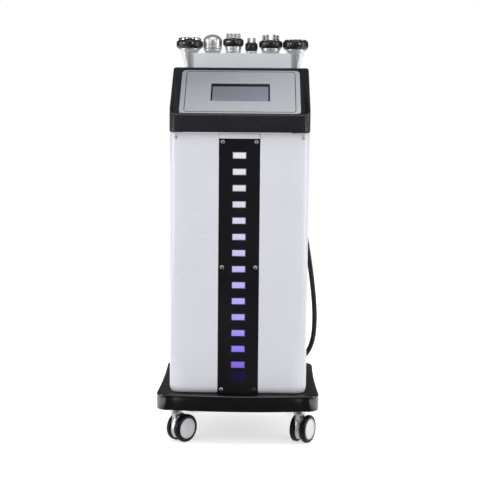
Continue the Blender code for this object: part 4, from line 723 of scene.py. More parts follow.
def make_console():
    """The housing with its rounded edges, hollow, with the fascia's seat and the screen's opening cut in."""
    half, front, bottom, wall = CONSOLE_WIDTH / 2, CONSOLE_FRONT, CONSOLE_BOTTOM, CONSOLE_WALL
    ridge_y, ridge_z = front + CONSOLE_RUN, bottom + CONSOLE_SKIRT + CONSOLE_RISE
    outline = [(front, bottom), (CONSOLE_REAR, bottom), (CONSOLE_REAR, bottom + CONSOLE_BACK),
               (ridge_y + CONSOLE_RIDGE, ridge_z), (ridge_y, ridge_z), (front, bottom + CONSOLE_SKIRT)]
    bm = bmesh.new()
    add_rings(bm, [[(x, y, z) for y, z in outline] for x in (-half, half)])
    weight = bm.edges.layers.float.new("bevel_weight_edge")
    for edge in bm.edges:
        a, b = (vert.co for vert in edge.verts)
        upright = abs(a.x - b.x) + abs(a.y - b.y) < GAP and max(a.y, b.y) < 0
        edge[weight] = 1.0 if upright else CONSOLE_EDGE / CONSOLE_CORNER
    shell = add_object("console_cover", finished("console_cover", bm), CONSOLE_PLASTIC)
    rounding = shell.modifiers.new("round_edges", 'BEVEL')
    rounding.width, rounding.segments = CONSOLE_CORNER, CORNER_STEPS
    rounding.limit_method, rounding.harden_normals = 'WEIGHT', True

    def hollow(x, back):
        near, floor, rear = front + wall + back, bottom - 0.012, CONSOLE_REAR - wall
        return [(x, y, z) for y, z in (
            (near, floor), (rear, floor), (rear, bottom + HOLLOW_BACK), (HOLLOW_RIDGE[0], HOLLOW_TOP),
            (HOLLOW_RIDGE[1], HOLLOW_TOP), (near, bottom + HOLLOW_SKIRT + back * CONSOLE_RISE / CONSOLE_RUN))]

    inside_half, corner = half - wall, CONSOLE_CORNER
    inner, seat, opening = bmesh.new(), bmesh.new(), bmesh.new()
    add_rings(inner, [hollow(-inside_half, corner), hollow(-inside_half + corner, 0),
                      hollow(inside_half - corner, 0), hollow(inside_half, corner)])
    add_slab(seat, FASCIA_WIDTH + 0.0010, FASCIA_LENGTH + 0.0010, FASCIA_CORNER + 0.0005,
             -FASCIA_THICKNESS - GAP, 0.02, 0, SLOPE_FRAME @ Matrix.Translation((0, FASCIA_CENTRE, 0)))
    add_slab(opening, SCREEN_WIDTH + 0.0106, SCREEN_LENGTH + 0.0106, 0.0012, -0.02, 0.02, 0,
             SLOPE_FRAME @ Matrix.Translation((0, SCREEN_CENTRE, 0)))
    cut_and_bake(shell, [into_scene(name, finished(name, cut)) for name, cut in (
        ("console_hollow", inner), ("fascia_seat", seat), ("screen_opening", opening))])
    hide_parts("console_housing")


def fascia_material():
    """Silver-grey lacquer over fine flakes, with painted shading that makes it brighter toward its lower
    right.
    """
    look = Look("fascia_lacquer")
    vector = look.place()
    # Painted shading: a slant across the plate makes it darker to the upper left and brighter to the lower
    # right, mixed with the flakes' grain.
    lean = look.add("VectorMath", {0: vector, 1: (1.3, -2.6, 0.0)}, "Value", operation='DOT_PRODUCT')
    tone = look.ranged(look.math('MULTIPLY_ADD', look.grain(vector, 5.0, 4.0), 0.22, lean), 0.0, 1.0, -0.45,
                       0.25)
    return look.set({
        "Base Color": look.ramp(tone, (0.0, (0.41, 0.43, 0.475)), (0.5, (0.56, 0.585, 0.63)),
                                (1.0, (0.66, 0.685, 0.725))),
        "Metallic": 0.35, "Roughness": look.ranged(look.grain(vector, 60.0, 4.0), 0.30, 0.38),
        "Normal": look.bump(look.pits(vector, 1500.0), 0.12, 0.00006), "Coat Weight": 0.35,
        "Coat Roughness": 0.10})


# The fascia's rings as insets across and along, and heights over its face: its edge, then its engraved line.
FASCIA_FACE = 0.0006
FASCIA_EDGE = ((0, 0, -FASCIA_THICKNESS - FASCIA_FACE), (0, 0, -0.0007), (0.0004, 0.0004, -0.0001),
               (0.0011, 0.0011, 0), (0.0024, 0.0024, 0))
FASCIA_LINE = ((0.0124, 0.0052, 0), (0.0126, 0.0054, 0), (0.0129, 0.0057, -0.0007), (0.0144, 0.0074, -0.0007),
               (0.0147, 0.0077, 0), (0.0149, 0.0079, 0))
# The rings of the screen's window: insets, corner radii and heights.
SCREEN_EDGE = ((-0.0016, 0.0024, 0), (-0.0012, 0.0020, 0), (-0.0003, 0.0012, -0.0003), (0, 0.0010, -0.0009),
               (0, 0.0010, -FASCIA_THICKNESS - FASCIA_FACE))


def make_fascia():
    """The lacquered plate with its bright edge, a dark engraved line inside it and the screen's window."""
    def outline(width, length, corner, level, centre):
        return [Vector((x, y + centre, FASCIA_FACE + level))
                for x, y in rounded_rectangle(width, length, corner, 8)]

    rings = [outline(FASCIA_WIDTH - across * 2, FASCIA_LENGTH - along * 2, FASCIA_CORNER - along, level,
                     FASCIA_CENTRE)
             for across, along, level in FASCIA_EDGE + FASCIA_LINE]
    rings += [outline(SCREEN_WIDTH - inset * 2, SCREEN_LENGTH - inset * 2, corner, level, SCREEN_CENTRE)
              for inset, corner, level in SCREEN_EDGE]
    bm = bmesh.new()
    add_rings(bm, rings, capped=False)
    bm.verts.ensure_lookup_table()
    count, total = len(rings[0]), len(bm.verts)
    for i in range(count):
        j = (i + 1) % count
        bm.faces.new((bm.verts[total - count + i], bm.verts[total - count + j], bm.verts[j], bm.verts[i]))
    bm.verts.index_update()
    engraved = (6, 7, 8)
    for face in bm.faces:
        rows = sorted(v.index // count for v in face.verts)
        cut = rows[0] in engraved and rows[-1] == rows[0] + 1
        face.material_index = 1 if cut else 2 if rows[-1] <= 3 else 0
    looks = [fascia_material(), moulded("groove_ink", (0.045, 0.045, 0.055), (0.07, 0.07, 0.08), 0.45),
             metal("edge_silver", (0.78, 0.78, 0.80), (0.88, 0.88, 0.90), 0.20)]
    add_piece("console_fascia_plate", bm, looks, "console_fascia", place=SLOPE_FRAME, angle=22)


def display_material():
    """Lit display behind dark glass: a black frame round a grey field that turns lilac to the lower right."""
    look = Look("display_panel")
    axes, where = look.axes(), look.add("TexCoord", out="Object")
    field = look.math('MULTIPLY', inside(look, axes["X"], 0.0, 0.0735, 0.0004),
                      inside(look, axes["Y"], SCREEN_CENTRE - 0.0048, 0.0322, 0.0004))
    lean = look.add("VectorMath", {0: where, 1: (3.6, -5.2, 0.0)}, "Value", operation='DOT_PRODUCT')
    tone = look.ramp(look.math('ADD', lean, 0.5 + 5.2 * SCREEN_CENTRE), (0.0, (0.190, 0.190, 0.205)),
                     (0.45, (0.235, 0.235, 0.265)), (0.80, (0.27, 0.27, 0.40)), (1.0, (0.33, 0.32, 0.50)))
    black = (0.004, 0.004, 0.005, 1)
    return look.set({
        "Base Color": look.mix(field, black, (0.030, 0.030, 0.036, 1)),
        "Emission Color": look.mix(field, black, tone), "Emission Strength": 0.80,
        "Roughness": look.ranged(look.grain(where, 60.0, 4.0), 0.12, 0.20), "Coat Weight": 0.25})


def make_display():
    bm = bmesh.new()
    back = -FASCIA_THICKNESS - GAP
    add_slab(bm, SCREEN_WIDTH + 0.010, SCREEN_LENGTH + 0.010, 0.0012, back - 0.0015, back, 0.0003,
             Matrix.Translation((0, SCREEN_CENTRE, 0)), 0, 3)
    add_piece("display_screen", bm, display_material(), "display_glass", place=SLOPE_FRAME)


make_console()
make_fascia()
make_display()


# Rack

# Width of the darker grey strip down each end of the rack's plate, which is painted shade; the plate is
# widened by it.
PAINTED_SHADE_STRIP = 0.0068
RACK_FRONT, RACK_SHEET, RACK_CORNER, RACK_RETURN, RACK_SOFT = CONSOLE_REAR + GAP, 0.002, 0.007, 0.015, 0.0006
RACK_HALF = 0.1405 + PAINTED_SHADE_STRIP
RACK_BOTTOM, RACK_TOP = 0.850, 1.0555


def rack_path(inset):
    half, radius = RACK_HALF - inset, RACK_CORNER - inset
    front = RACK_FRONT + inset
    points = [(half, RACK_FRONT + RACK_RETURN)] + arc(half - radius, front + radius, radius, 0, -9, 11)
    points += [(RACK_HALF - PAINTED_SHADE_STRIP, front)] + [(half * t, front) for t in (0.6, 0.3)]
    return points + [(0, front)] + [(-x, y) for x, y in reversed(points)]


def make_rack_plate():
    """The folded plate behind the console, with painted shade on its ends: a darker grey strip down each
    side.
    """
    soft = RACK_SOFT
    levels = [(soft, RACK_BOTTOM), (0, RACK_BOTTOM + soft), (0, RACK_TOP - soft),
              (soft * 0.35, RACK_TOP - soft * 0.3), (soft, RACK_TOP)]
    bm = bmesh.new()
    add_sheet(bm, [[(x, y, z) for x, y in rack_path(inset) + list(reversed(rack_path(RACK_SHEET - inset)))]
                   for inset, z in levels])
    for face in bm.faces:
        # Faces in the end strips take the darker grey: painted shade.
        face.material_index = int(abs(face.calc_center_median().x) > RACK_HALF - PAINTED_SHADE_STRIP)
    painted_shade_grey = moulded("painted_shade_grey", (0.25, 0.255, 0.27), (0.30, 0.305, 0.32), 0.40)
    add_piece("rack_guard", bm, [GREY_PAINT, painted_shade_grey], "rack_plate", angle=45)


make_rack_plate()


# Handpieces

HANDPIECE_Y, LINER_TOP = 0.180, 1.0143
HANDPIECE_X = (-0.1535, -0.087, -0.027, 0.0255, 0.0815, 0.1535)
HANDLE_BOTTOM, CONE_TOP = 0.885, 1.056
HEADS = (
    {"cone": 0.0235, "neck": 0.0308, "radius": 0.0385, "rise": 0.0140, "tall": 0.0225},
    {"cone": 0.0215, "neck": 0.0262, "radius": 0.0272, "rise": 0.0135, "tall": 0.0420},
    {"cone": 0.0205, "neck": 0.0239, "radius": 0.0299, "rise": 0.0205, "tall": 0.0215},
    {"cone": 0.0155, "neck": 0.0165, "radius": 0.0182, "rise": 0.0080, "tall": 0.0225},
    {"cone": 0.0240, "neck": 0.0285, "radius": 0.0340, "rise": 0.0155, "tall": 0.0215},
    {"cone": 0.0235, "neck": 0.0298, "radius": 0.0372, "rise": 0.0130, "tall": 0.0245},
)
# Lenses in the collars: place across, width, height and look.
LENSES = {
    1: [(-0.0256, 0.0028, 0.0028, 1), (-0.0147, 0.0034, 0.0034, 1), (0.0097, 0.0032, 0.0032, 1)],
    3: [(-0.0130, 0.0110, 0.0022, 1), (0.0095, 0.0080, 0.0018, 2)],
    4: [(-0.0082, 0.0030, 0.0034, 2), (0.0047, 0.0026, 0.0026, 2)],
    5: [(-0.0159, 0.0140, 0.0022, 2), (0.0100, 0.0026, 0.0034, 2)],
    6: [(-0.0223, 0.0028, 0.0028, 1), (-0.0150, 0.0034, 0.0034, 1), (0.0100, 0.0034, 0.0034, 1)],
}
# Pins of the heads: centres, radius and height.
PINS = {
    3: ([Matrix.Translation((0.0106 * (i - 1.5), 0, 0)) for i in range(4)], 0.0045, 0.0165),
    4: ([Matrix.Translation((x, 0, 0)) for x in (-0.0079, 0.0079)], 0.0040, 0.0160),
    5: (around(6, 0.0200), 0.0045, 0.0175),
}
# Plates of the broad heads: radius and height.
PLATES = {1: (0.0330, 0.0080), 6: (0.0325, 0.0030)}
HANDLE_SILVER = metal("handle_silver", (0.74, 0.75, 0.77), (0.84, 0.85, 0.87), 0.30, (1, 1, 5), 420.0,
                      0.000003, 0.65)
DOME_STEEL = metal("dome_steel", (0.78, 0.79, 0.81), (0.86, 0.87, 0.89), 0.33, (1, 1, 1), 1200.0, 0.000002,
                   0.8)
ROD_STEEL = metal("rod_steel", (0.28, 0.285, 0.30), (0.36, 0.365, 0.38), 0.24, (1, 1, 1), 1500.0, 0.000002)
BRASS = metal("brass", (0.72, 0.52, 0.22), (0.84, 0.64, 0.30), 0.25)
COLLAR_BLACK = moulded("collar_black", (0.010, 0.010, 0.011), (0.018, 0.018, 0.019), 0.30, 0.0009, 0.00005)
LAMP_WHITE = moulded("lamp_white", (0.70, 0.71, 0.72), (0.80, 0.81, 0.82), 0.30)
LAMP_GREY = moulded("lamp_grey", (0.20, 0.20, 0.21), (0.28, 0.28, 0.29), 0.30)


def smooth_curve(points, per_span=5):
    """Catmull curve through (radius, height) points."""
    ends = [points[0]] + list(points) + [points[-1]]
    result = []
    for i in range(1, len(ends) - 2):
        p0, p1, p2, p3 = (Vector(p) for p in ends[i - 1:i + 3])
        for k in range(per_span):
            t = k / per_span
            result.append(tuple(0.5 * ((2 * p1) + (p2 - p0) * t + (2 * p0 - 5 * p1 + 4 * p2 - p3) * t * t
                                       + (3 * p1 - p0 - 3 * p2 + p3) * t ** 3)))
    return result + [tuple(points[-1])]


def handle_profile(head, socket):
    """Half section of a handle: its tail, with a socket or solid, the grip, the cone and the stepped neck."""
    cone, tail, rise = head["cone"], HANDLE_BOTTOM, head["rise"] - GAP
    start = [(0, 0.006), (0.0058, 0.006), (0.0058, 0.0005), (0.0064, 0)] if socket else [(0, 0)]
    start += [(0.0090, 0), (0.0095, 0.0005), (0.0096, 0.0105), (0.0091, 0.0112), (0.0091, 0.0122),
              (0.0100, 0.0130)]
    grip = [(0.0112, tail + 0.0155), (0.0121, tail + 0.0190), (0.0113, tail + 0.0450),
            (0.0112, tail + 0.0800), (0.0119, LINER_TOP - 0.012), (0.0123, LINER_TOP - 0.001),
            (cone * 0.75, LINER_TOP + 0.0229), (cone * 0.985, CONE_TOP - 0.0025)]
    steps = ((0.42, 0.35), (0.44, 0.40), (0.34, 0.43), (0.40, 0.50), (0.60, 0.53))
    lip = [(cone, CONE_TOP - 0.0006), (cone, CONE_TOP)]
    lip += [(cone + (head["neck"] - cone) * out, CONE_TOP + rise * up) for out, up in steps]
    lip += [(head["neck"] - 0.0004, CONE_TOP + rise - 0.0009), (head["neck"] - 0.0006, CONE_TOP + rise),
            (0, CONE_TOP + rise)]
    return [(radius, tail + up) for radius, up in start] + smooth_curve(grip) + lip


def add_lens(bm, radius, across, height, wide, tall, slot):
    """A small rounded lens let into the collar's front, centred across it by the distance given."""
    turn = math.asin(across / radius)
    axis, side = Vector((math.sin(turn), -math.cos(turn))), Vector((math.cos(turn), math.sin(turn)))
    centre = axis * (radius - 0.0003)
    place = Matrix(((side.x, 0, axis.x, centre.x), (side.y, 0, axis.y, centre.y), (0, 1, 0, height),
                    (0, 0, 0, 1)))
    add_rings(bm, [[place @ Vector((x * share, y * share, level - (x * share) ** 2 / (2 * radius)))
                    for x, y in rounded_rectangle(wide, tall, min(wide, tall) * 0.49, 5)]
                   for share, level in ((1.0, 0.0), (1.0, 0.00055), (0.9, 0.0008), (0.6, 0.00095))],
              slot=slot)


def add_pin(bm, place, seat, radius, tall):
    """A round-topped pin with the small flange at its foot."""
    dome = radius * 0.75
    profile = [(0, seat + 0.0012), (radius, seat + 0.0012), (radius, seat + tall - dome)]
    profile += arc(0, seat + tall - dome, radius, 15, 15, 5, dome) + [(0, seat + tall)]
    add_lathe(bm, profile, place, 24)
    add_lathe(bm, [(radius, seat + 0.0015), (radius + 0.0009, seat + 0.0015),
                   (radius + 0.0007, seat + 0.0024), (radius, seat + 0.0026)], place, 24)


def make_handle(number, head, place):
    """The handle, with the lead's gland in its tail or a socket with five contacts."""
    name, bottom = "handpiece_%d" % number, HANDLE_BOTTOM
    bm = bmesh.new()
    add_lathe(bm, handle_profile(head, number != 6), facets=56)
    if number == 6:
        low = bottom - 0.020
        gland = [(0.0040, low + 0.004), (0.0040, low), (0.0079, low), (0.0081, low + 0.001)]
        gland += rows_of_ribs(low + 0.002, 0.0155 / 6, 6, 0.0081, 0.0001, (0.0012, 0.0015, 0.0022))
        gland += [(0.0087, bottom - 0.0006), (0.0087, bottom), (0.0040, bottom)]
        add_lathe(bm, gland, facets=40, slot=1)
    else:
        contact = [(0, 0.0061), (0.0006, 0.0061), (0.0006, 0.0018), (0.0003, 0.0012), (0, 0.0012)]
        for centre in around(5, 0.0036):
            add_lathe(bm, [(radius, bottom + up) for radius, up in contact], centre, 10, 2)
    add_piece(name + "_body", bm, [HANDLE_SILVER, SOFT_BLACK, BRASS], name + "_handle", body=name,
              place=place, angle=40)


def make_handpiece(number, x, head):
    name, place = "handpiece_%d" % number, Matrix.Translation((x, HANDPIECE_Y, 0))
    make_handle(number, head, place)
    radius, low, tall = head["radius"], CONE_TOP + head["rise"], head["tall"]
    top = low + tall

    def turned(label, profile, look, node):
        bm = bmesh.new()
        add_lathe(bm, profile, facets=72)
        add_piece(name + label, bm, look, name + node, body=name, place=place, angle=40)

    if number == 2:
        seam, shoulder = low + 0.0075, top - radius * 0.72
        profile = [(0, low), (radius * 0.96, low), (radius * 0.985, low + 0.0008), (radius, low + 0.0035)]
        profile += [(radius * share, seam + up) for share, up in (
            (0.99, -0.0008), (0.955, -0.0002), (0.955, 0.0004), (0.99, 0.0010), (1, 0.0030))]
        profile += [(radius, shoulder)] + arc(0, shoulder, radius, 7.5, 7.5, 11, top - shoulder) + [(0, top)]
        return turned("_shell", profile, DOME_STEEL, "_dome")
    bm = bmesh.new()
    collar = [(0, low), (radius * 0.85, low), (radius, low + tall * 0.26), (radius, low + tall * 0.80),
              (radius * 0.93, top), (radius * 0.70, top - 0.0002), (0, top - 0.0002)]
    add_lathe(bm, rounded_profile(collar, 0.0012, 3), facets=64)
    for across, wide, high, slot in LENSES[number]:
        add_lens(bm, radius, across, low + tall * 0.60, wide, high, slot)
    add_piece(name + "_ring", bm, [COLLAR_BLACK, LAMP_WHITE, LAMP_GREY], name + "_collar", body=name,
              place=place, angle=38)
    seat = top + GAP
    if number in PLATES:
        wide, high = PLATES[number]
        profile = [(0, seat), (wide * 0.97, seat), (wide, seat + 0.0006)]
        profile += [(wide * share, seat + high * up) for share, up in (
            (1, 0.62), (0.985, 0.82), (0.93, 1), (0.80, 1), (0.76, 0.86), (0, 0.80))]
        return turned("_plate", rounded_profile(profile, 0.0008, 2), CHROME, "_electrode")
    bm = bmesh.new()
    disc = radius * 0.86 * 0.94
    add_lathe(bm, [(0, seat), (disc, seat), (disc, seat + 0.0010), (disc - 0.0005, seat + 0.0015),
                   (0, seat + 0.0015)],
              facets=56)
    centres, wide, high = PINS[number]
    for centre in centres:
        add_pin(bm, centre, seat, wide, high)
    add_piece(name + "_rods", bm, ROD_STEEL, name + "_electrode", body=name, place=place, angle=40)


for index, (place_x, head_facts) in enumerate(zip(HANDPIECE_X, HEADS), 1):
    make_handpiece(index, place_x, head_facts)


# Casters

TRAIL, WHEEL_RADIUS, WHEEL_WIDTH, HUB_RADIUS = 0.022, 0.0375, 0.0162, 0.0268
AXLE_HEIGHT = WHEEL_RADIUS * math.cos(math.pi / 18)
YOKE_THICKNESS, YOKE_TOP, YOKE_HEAD_HEIGHT, FLANGE_TOP = 0.0124, 0.0945, 0.0165, 0.1324
STRAP_SPLIT, STRAP_HALF, STRAP_STEPS = 0.62, 0.0061, 22
SWIVELS = {"front_left": (-0.165, -0.158, 48.0), "front_right": (0.165, -0.158, 61.0),
           "rear_left": (-0.165, 0.158, 48.0), "rear_right": (0.165, 0.158, 61.0)}
TYRE = moulded("tyre_rubber", (0.004, 0.004, 0.005), (0.008, 0.008, 0.010), 0.27, 0.0012, 0.00003,
               specular=0.3)
YOKE_SILVER = metal("yoke_silver", (0.62, 0.62, 0.65), (0.74, 0.74, 0.77), 0.36, scale=500.0)


def wheel_bands():
    """Half sections of a wheel with their looks: its inside, ribbed tyre, rim ring and dished cap."""
    width, radius, hub = WHEEL_WIDTH, WHEEL_RADIUS - 0.0001, HUB_RADIUS
    tyre = [(0.0120, 0.0004), (0.0300, 0.0004), (0.0335, 0.0008), (0.0352, 0.0022), (0.0356, 0.0034),
            (0.0364, 0.0037), (0.0367, 0.0046), (radius, 0.0052)]
    for start in (0.0078, 0.0104):
        tyre += [(radius, start - 0.0003), (radius - 0.0006, start), (radius - 0.0006, start + 0.0005),
                 (radius, start + 0.0008)]
    tyre += [(radius - inset, width - low) for inset, low in (
        (0, 0.0040), (0.0004, 0.0026), (0.0020, 0.0010), (0.0046, 0.0001))]

    def over_hub(*steps):
        return [(hub + out, width - low) for out, low in steps]

    tyre += over_hub((0.0030, 0), (0.0012, 0.0003), (0.0006, 0.0012))
    ring = over_hub((0.0006, 0.0012), (0.0002, 0.0001), (-0.0004, 0), (-0.0030, 0.0001), (-0.0040, 0.0009),
                    (-0.0044, 0.0016))
    cap = over_hub((-0.0044, 0.0016), (-0.0052, 0.0015), (-0.0060, 0.0011))
    cap += [(hub * share, width - low) for share, low in (
        (0.62, 0.0007), (0.34, 0.0005), (0.30, 0.0009), (0.27, 0.0009), (0.24, 0.0005), (0.12, 0.0002),
        (0, 0.0001))]
    bore = width * 0.7 + 0.0004
    inner = [(0, bore), (0.0043, bore), (0.0043, 0.0002), (0.0090, 0.0002), (0.0094, 0.0014),
             (0.0112, 0.0014), (0.0120, 0.0004)]
    return (inner, 0), (tyre, 1), (ring, 2), (cap, 0)


def make_wheel(name, label, swivel, sign):
    offset = YOKE_THICKNESS / 2 + 0.0005
    axle = along_y(0, offset, 0) if sign > 0 else facing_front(0, -offset, 0)
    bm = bmesh.new()
    for band, slot in wheel_bands():
        add_lathe(bm, band, facets=72, slot=slot, closed=False)
    low, high, level = WHEEL_RADIUS - 0.0052, WHEEL_RADIUS - 0.0026, WHEEL_WIDTH - 0.0004
    for notch in spokes(48):
        add_prism(bm, ((low, -0.0003), (high, -0.0003), (high, 0.0003), (low, 0.0003)),
                  (level - 0.001, level + 0.0001), notch, 1)
    bmesh.ops.remove_doubles(bm, verts=bm.verts, dist=0.000005)
    add_piece(label, bm, [HUB_PLASTIC, TYRE, RING_PLASTIC], name, body=name,
              place=swivel @ Matrix.Translation((TRAIL, 0, AXLE_HEIGHT)) @ axle, angle=38)


def strap_rows():
    """Sections of the yoke's strap: it hugs the wheels, and opens like a funnel from mid height up."""
    rows, soft = [], 0.0010
    for i in range(STRAP_STEPS + 1):
        share = i / STRAP_STEPS
        lift = max(share - STRAP_SPLIT, 0) / (1 - STRAP_SPLIT)
        outer, inner = 0.0352 + 0.0082 * lift ** 1.5, 0.0320 + 0.0030 * lift
        half = STRAP_HALF + (0.0068 * ((share - 0.50) / 0.50) ** 1.8 if share >= STRAP_SPLIT else 0)
        at = [(outer - soft, -half), (outer, -half + soft), (outer + 0.0004, 0), (outer, half - soft),
              (outer - soft, half), (inner, half), (inner - 0.0002, 0), (inner, -half)]
        angle = math.radians(222 - 100 * share)
        rows.append([Vector((TRAIL, 0, AXLE_HEIGHT)) + Vector((r * math.cos(angle), y, r * math.sin(angle)))
                     for r, y in at])
    return rows


def make_yoke(name, swivel, braked):
    """The cast yoke: a strap that hugs the wheels, its leg to the axle, and a head with its ball race."""
    bm = bmesh.new()
    add_rings(bm, strap_rows())
    half = YOKE_THICKNESS / 2 - 0.0003
    leg = arc(TRAIL, AXLE_HEIGHT, 0.0088, 215, 20, 9) + [(0.0196, 0.0782), (-0.0100, 0.0782)]
    leg += arc(TRAIL, AXLE_HEIGHT, 0.0325, 143, 8.6, 9)
    add_prism(bm, leg, (-half, -half + 0.0008, half - 0.0008, half), UPRIGHT)
    bottom = YOKE_TOP - YOKE_HEAD_HEIGHT
    head = [(0, bottom), (0.0132, bottom), (0.0158, bottom + 0.0030), (0.0168, bottom + 0.0062)]
    head += [(radius, YOKE_TOP - low) for radius, low in (
        (0.0170, 0.0040), (0.0166, 0.0022), (0.0158, 0.0014), (0.0158, 0.0004), (0.0062, 0.0004),
        (0.0062, 0.0118), (0, 0.0118))]
    add_lathe(bm, rounded_profile(head, 0.0012, 3))
    ball = [(0, -0.0015)] + arc(0, 0, 0.0015, -60, 30, 5) + [(0, 0.0015)]
    for centre in around(16, 0.0150):
        add_lathe(bm, ball, centre @ Matrix.Translation((0, 0, YOKE_TOP - 0.0009)), 10, 2)
    reach = YOKE_THICKNESS / 2 + WHEEL_WIDTH * 0.7
    axle = [(0, -reach), (0.0037, -reach), (0.0040, -reach + 0.0004), (0.0040, reach - 0.0004),
            (0.0037, reach), (0, reach)]
    add_lathe(bm, axle, along_y(TRAIL, 0, AXLE_HEIGHT), 32, 2)
    if braked:
        ear = [(0.0102, 0.0812), (0.0225, 0.0811), (0.0250, 0.0822), (0.0264, 0.0850), (0.0250, 0.0878),
               (0.0225, 0.0889), (0.0102, 0.0888)]
        for levels in ((-0.0031, -0.0012), (0.0012, 0.0031)):
            add_prism(bm, ear, levels, UPRIGHT)
    add_piece(name + "_fork", bm, [YOKE_SILVER, SOFT_BLACK, STEEL], name + "_yoke", body=name, place=swivel,
              angle=40)


def make_pedal(name, swivel):
    """The brake pedal: a pressed tab with a hemmed edge and a ribbed black grip on its tip."""
    tilt = swivel @ Matrix.Translation((0.0225, 0, 0.0850)) @ Matrix.Rotation(math.radians(15), 4, 'Y')
    bm = bmesh.new()
    thick = 0.0015
    side = [(0.0140, 0.0112), (0.0232, 0.0098), (0.0240, 0.0086)]
    plan = [(-0.0040, -0.0118)] + [(x, -y) for x, y in side] + side[::-1] + [
        (-0.0040, 0.0118), (-0.0040, 0.0035), (0.0046, 0.0035), (0.0046, -0.0035), (-0.0040, -0.0035)]
    add_prism(bm, plan, (-thick, -thick * 0.6, thick * 0.6, thick))
    add_lathe(bm, [(0, -0.0072), (0.0014, -0.0072), (0.0016, -0.0069), (0.0016, 0.0069), (0.0014, 0.0072),
                   (0, 0.0072)],
              along_y(0, 0, 0), 20, 2)
    grip = [(0.0150, 0.0015), (0.0246, 0.0012), (0.0254, 0.0004), (0.0254, -0.0008), (0.0244, -0.0018),
            (0.0150, -0.0018)]
    add_prism(bm, grip, (-0.0100, -0.0094, 0.0094, 0.0100), UPRIGHT, 1)
    for i in range(4):
        x = 0.0166 + 0.0022 * i
        rib = [(x - 0.0005, 0.0010), (x + 0.0005, 0.0010), (x + 0.0003, 0.0021), (x - 0.0003, 0.0021)]
        add_prism(bm, rib, (-0.0084, 0.0084), UPRIGHT, 1)
    add_piece(name + "_pedal", bm, [YOKE_SILVER, SOFT_BLACK, STEEL], name + "_brake", body=name + "_brake",
              place=tilt, angle=40)


def make_flange(name, x, y):
    """The fixed half: a round plate with four nuts, the bearing cup and the kingpin's end."""
    top = FLANGE_TOP
    bm = bmesh.new()
    cup = [(0, 0.0831), (0.0057, 0.0831), (0.0060, 0.0834), (0.0060, 0.0951), (0.0186, 0.0951),
           (0.0190, 0.0957), (0.0190, 0.0990), (0.0182, 0.1006), (0.0178, 0.1240), (0.0186, top - 0.0030),
           (0.0294, top - 0.0030), (0.0300, top - 0.0024), (0.0300, top), (0, top)]
    add_lathe(bm, cup, facets=56)
    nut = [(0, -0.0004), (0.0050, -0.0004), (0.0050, 0.0030), (0.0044, 0.0036), (0.0026, 0.0036),
           (0.0026, 0.0060), (0.0022, 0.0064), (0, 0.0064)]
    for centre in around(4, 0.0238, 45):
        add_lathe(bm, nut, centre @ Matrix.Translation((0, 0, top - 0.0030))
                  @ Matrix.Rotation(math.pi, 4, 'X'), 18, 1)
    add_piece(name + "_flange", bm, [ZINC, STEEL], name + "_mount", place=Matrix.Translation((x, y, 0)),
              angle=40)


for corner, (swivel_x, swivel_y, turn) in SWIVELS.items():
    caster = "caster_" + corner
    swivel_place = Matrix.Translation((swivel_x, swivel_y, 0)) @ Matrix.Rotation(math.radians(turn), 4, 'Z')
    make_flange(caster, swivel_x, swivel_y)
    make_yoke(caster, swivel_place, corner.startswith("front"))
    make_wheel(caster + "_wheel_left", caster + "_roller_left", swivel_place, 1)
    make_wheel(caster + "_wheel_right", caster + "_roller_right", swivel_place, -1)
    if corner.startswith("front"):
        make_pedal(caster, swivel_place)


# The lead's plug

PANEL_OUTSIDE, SOCKET_FACE = 0.1373, 0.1403
SOCKETS = [(0.07 * column, row) for row in (0.300, 0.370) for column in (-1, 0, 1)]
PLUG_X, PLUG_Y, PLUG_Z = 0.070, 0.1591, 0.300


def make_connector():
    """The angled plug on the lead's end: a knurled ring at the socket, an elbow and a ribbed boot."""
    z, low = PLUG_Z, PLUG_Z - 0.030
    bm = bmesh.new()
    boot = [(0, low), (0.0080, low)]
    boot += rows_of_ribs(low + 0.0012, 0.0024, 4, 0.0082, 0.0007, (0.0013, 0.0016, 0.0021))
    boot += [(0.0108, low + 0.0116), (0.0110, low + 0.0128), (0.0110, z + 0.0084), (0.0104, z + 0.0100),
             (0.0088, z + 0.0110), (0, z + 0.0110)]
    add_lathe(bm, boot, Matrix.Translation((PLUG_X, PLUG_Y, 0)), 40)
    out, place = PLUG_Y - SOCKET_FACE - GAP, along_y(PLUG_X, SOCKET_FACE + GAP, z)
    neck = [(0, -0.0095), (0.0071, -0.0095), (0.0073, -0.0092), (0.0073, 0.0), (0.0098, 0.0),
            (0.0099, 0.0004), (0.0099, 0.0046), (0.0092, 0.0054), (0.0092, out), (0, out)]
    add_lathe(bm, neck, place, 40)
    for ridge in spokes(24):
        add_prism(bm, ((0.0094, -0.0004), (0.0101, -0.0003), (0.0101, 0.0003), (0.0094, 0.0004)),
                  (0.0006, 0.0044), place @ ridge)
    return add_piece("lead_plug", bm, SOFT_BLACK, "lead_connector", angle=40)


lead_plug = make_connector()


# Finished materials for the nodes that stay as they are


def galvanised_material():
    """Zinc-coated sheet with its crystal spangle."""
    look = Look("galvanised_sheet")
    vector = look.place()
    cells = look.add("TexVoronoi", {"Vector": vector, "Scale": 130.0}, "Color")
    tone, gloss = look.add("SeparateColor", {"Color": cells}).node.outputs[:2]
    return look.set({
        "Base Color": look.ramp(tone, (0.0, (0.42, 0.44, 0.46)), (1.0, (0.66, 0.68, 0.70))), "Metallic": 1.0,
        "Roughness": look.ranged(gloss, 0.30, 0.46),
        "Normal": look.bump(look.grain(vector, 700.0), 0.2, 0.00003)})


def diffuser_material():
    """Milky acrylic strip, faintly lit from behind."""
    look = Look("milky_acrylic")
    vector = look.place()
    cloud = look.grain(vector, 30.0, 4.0)
    return look.set({
        "Base Color": look.ramp(cloud, (0.3, (0.50, 0.46, 0.74)), (0.7, (0.58, 0.54, 0.82))),
        "Roughness": look.ranged(cloud, 0.34, 0.46), "Emission Color": (0.45, 0.38, 0.9, 1),
        "Emission Strength": 0.25, "Normal": look.bump(look.grain(vector, 900.0), 0.2, 0.00003)})


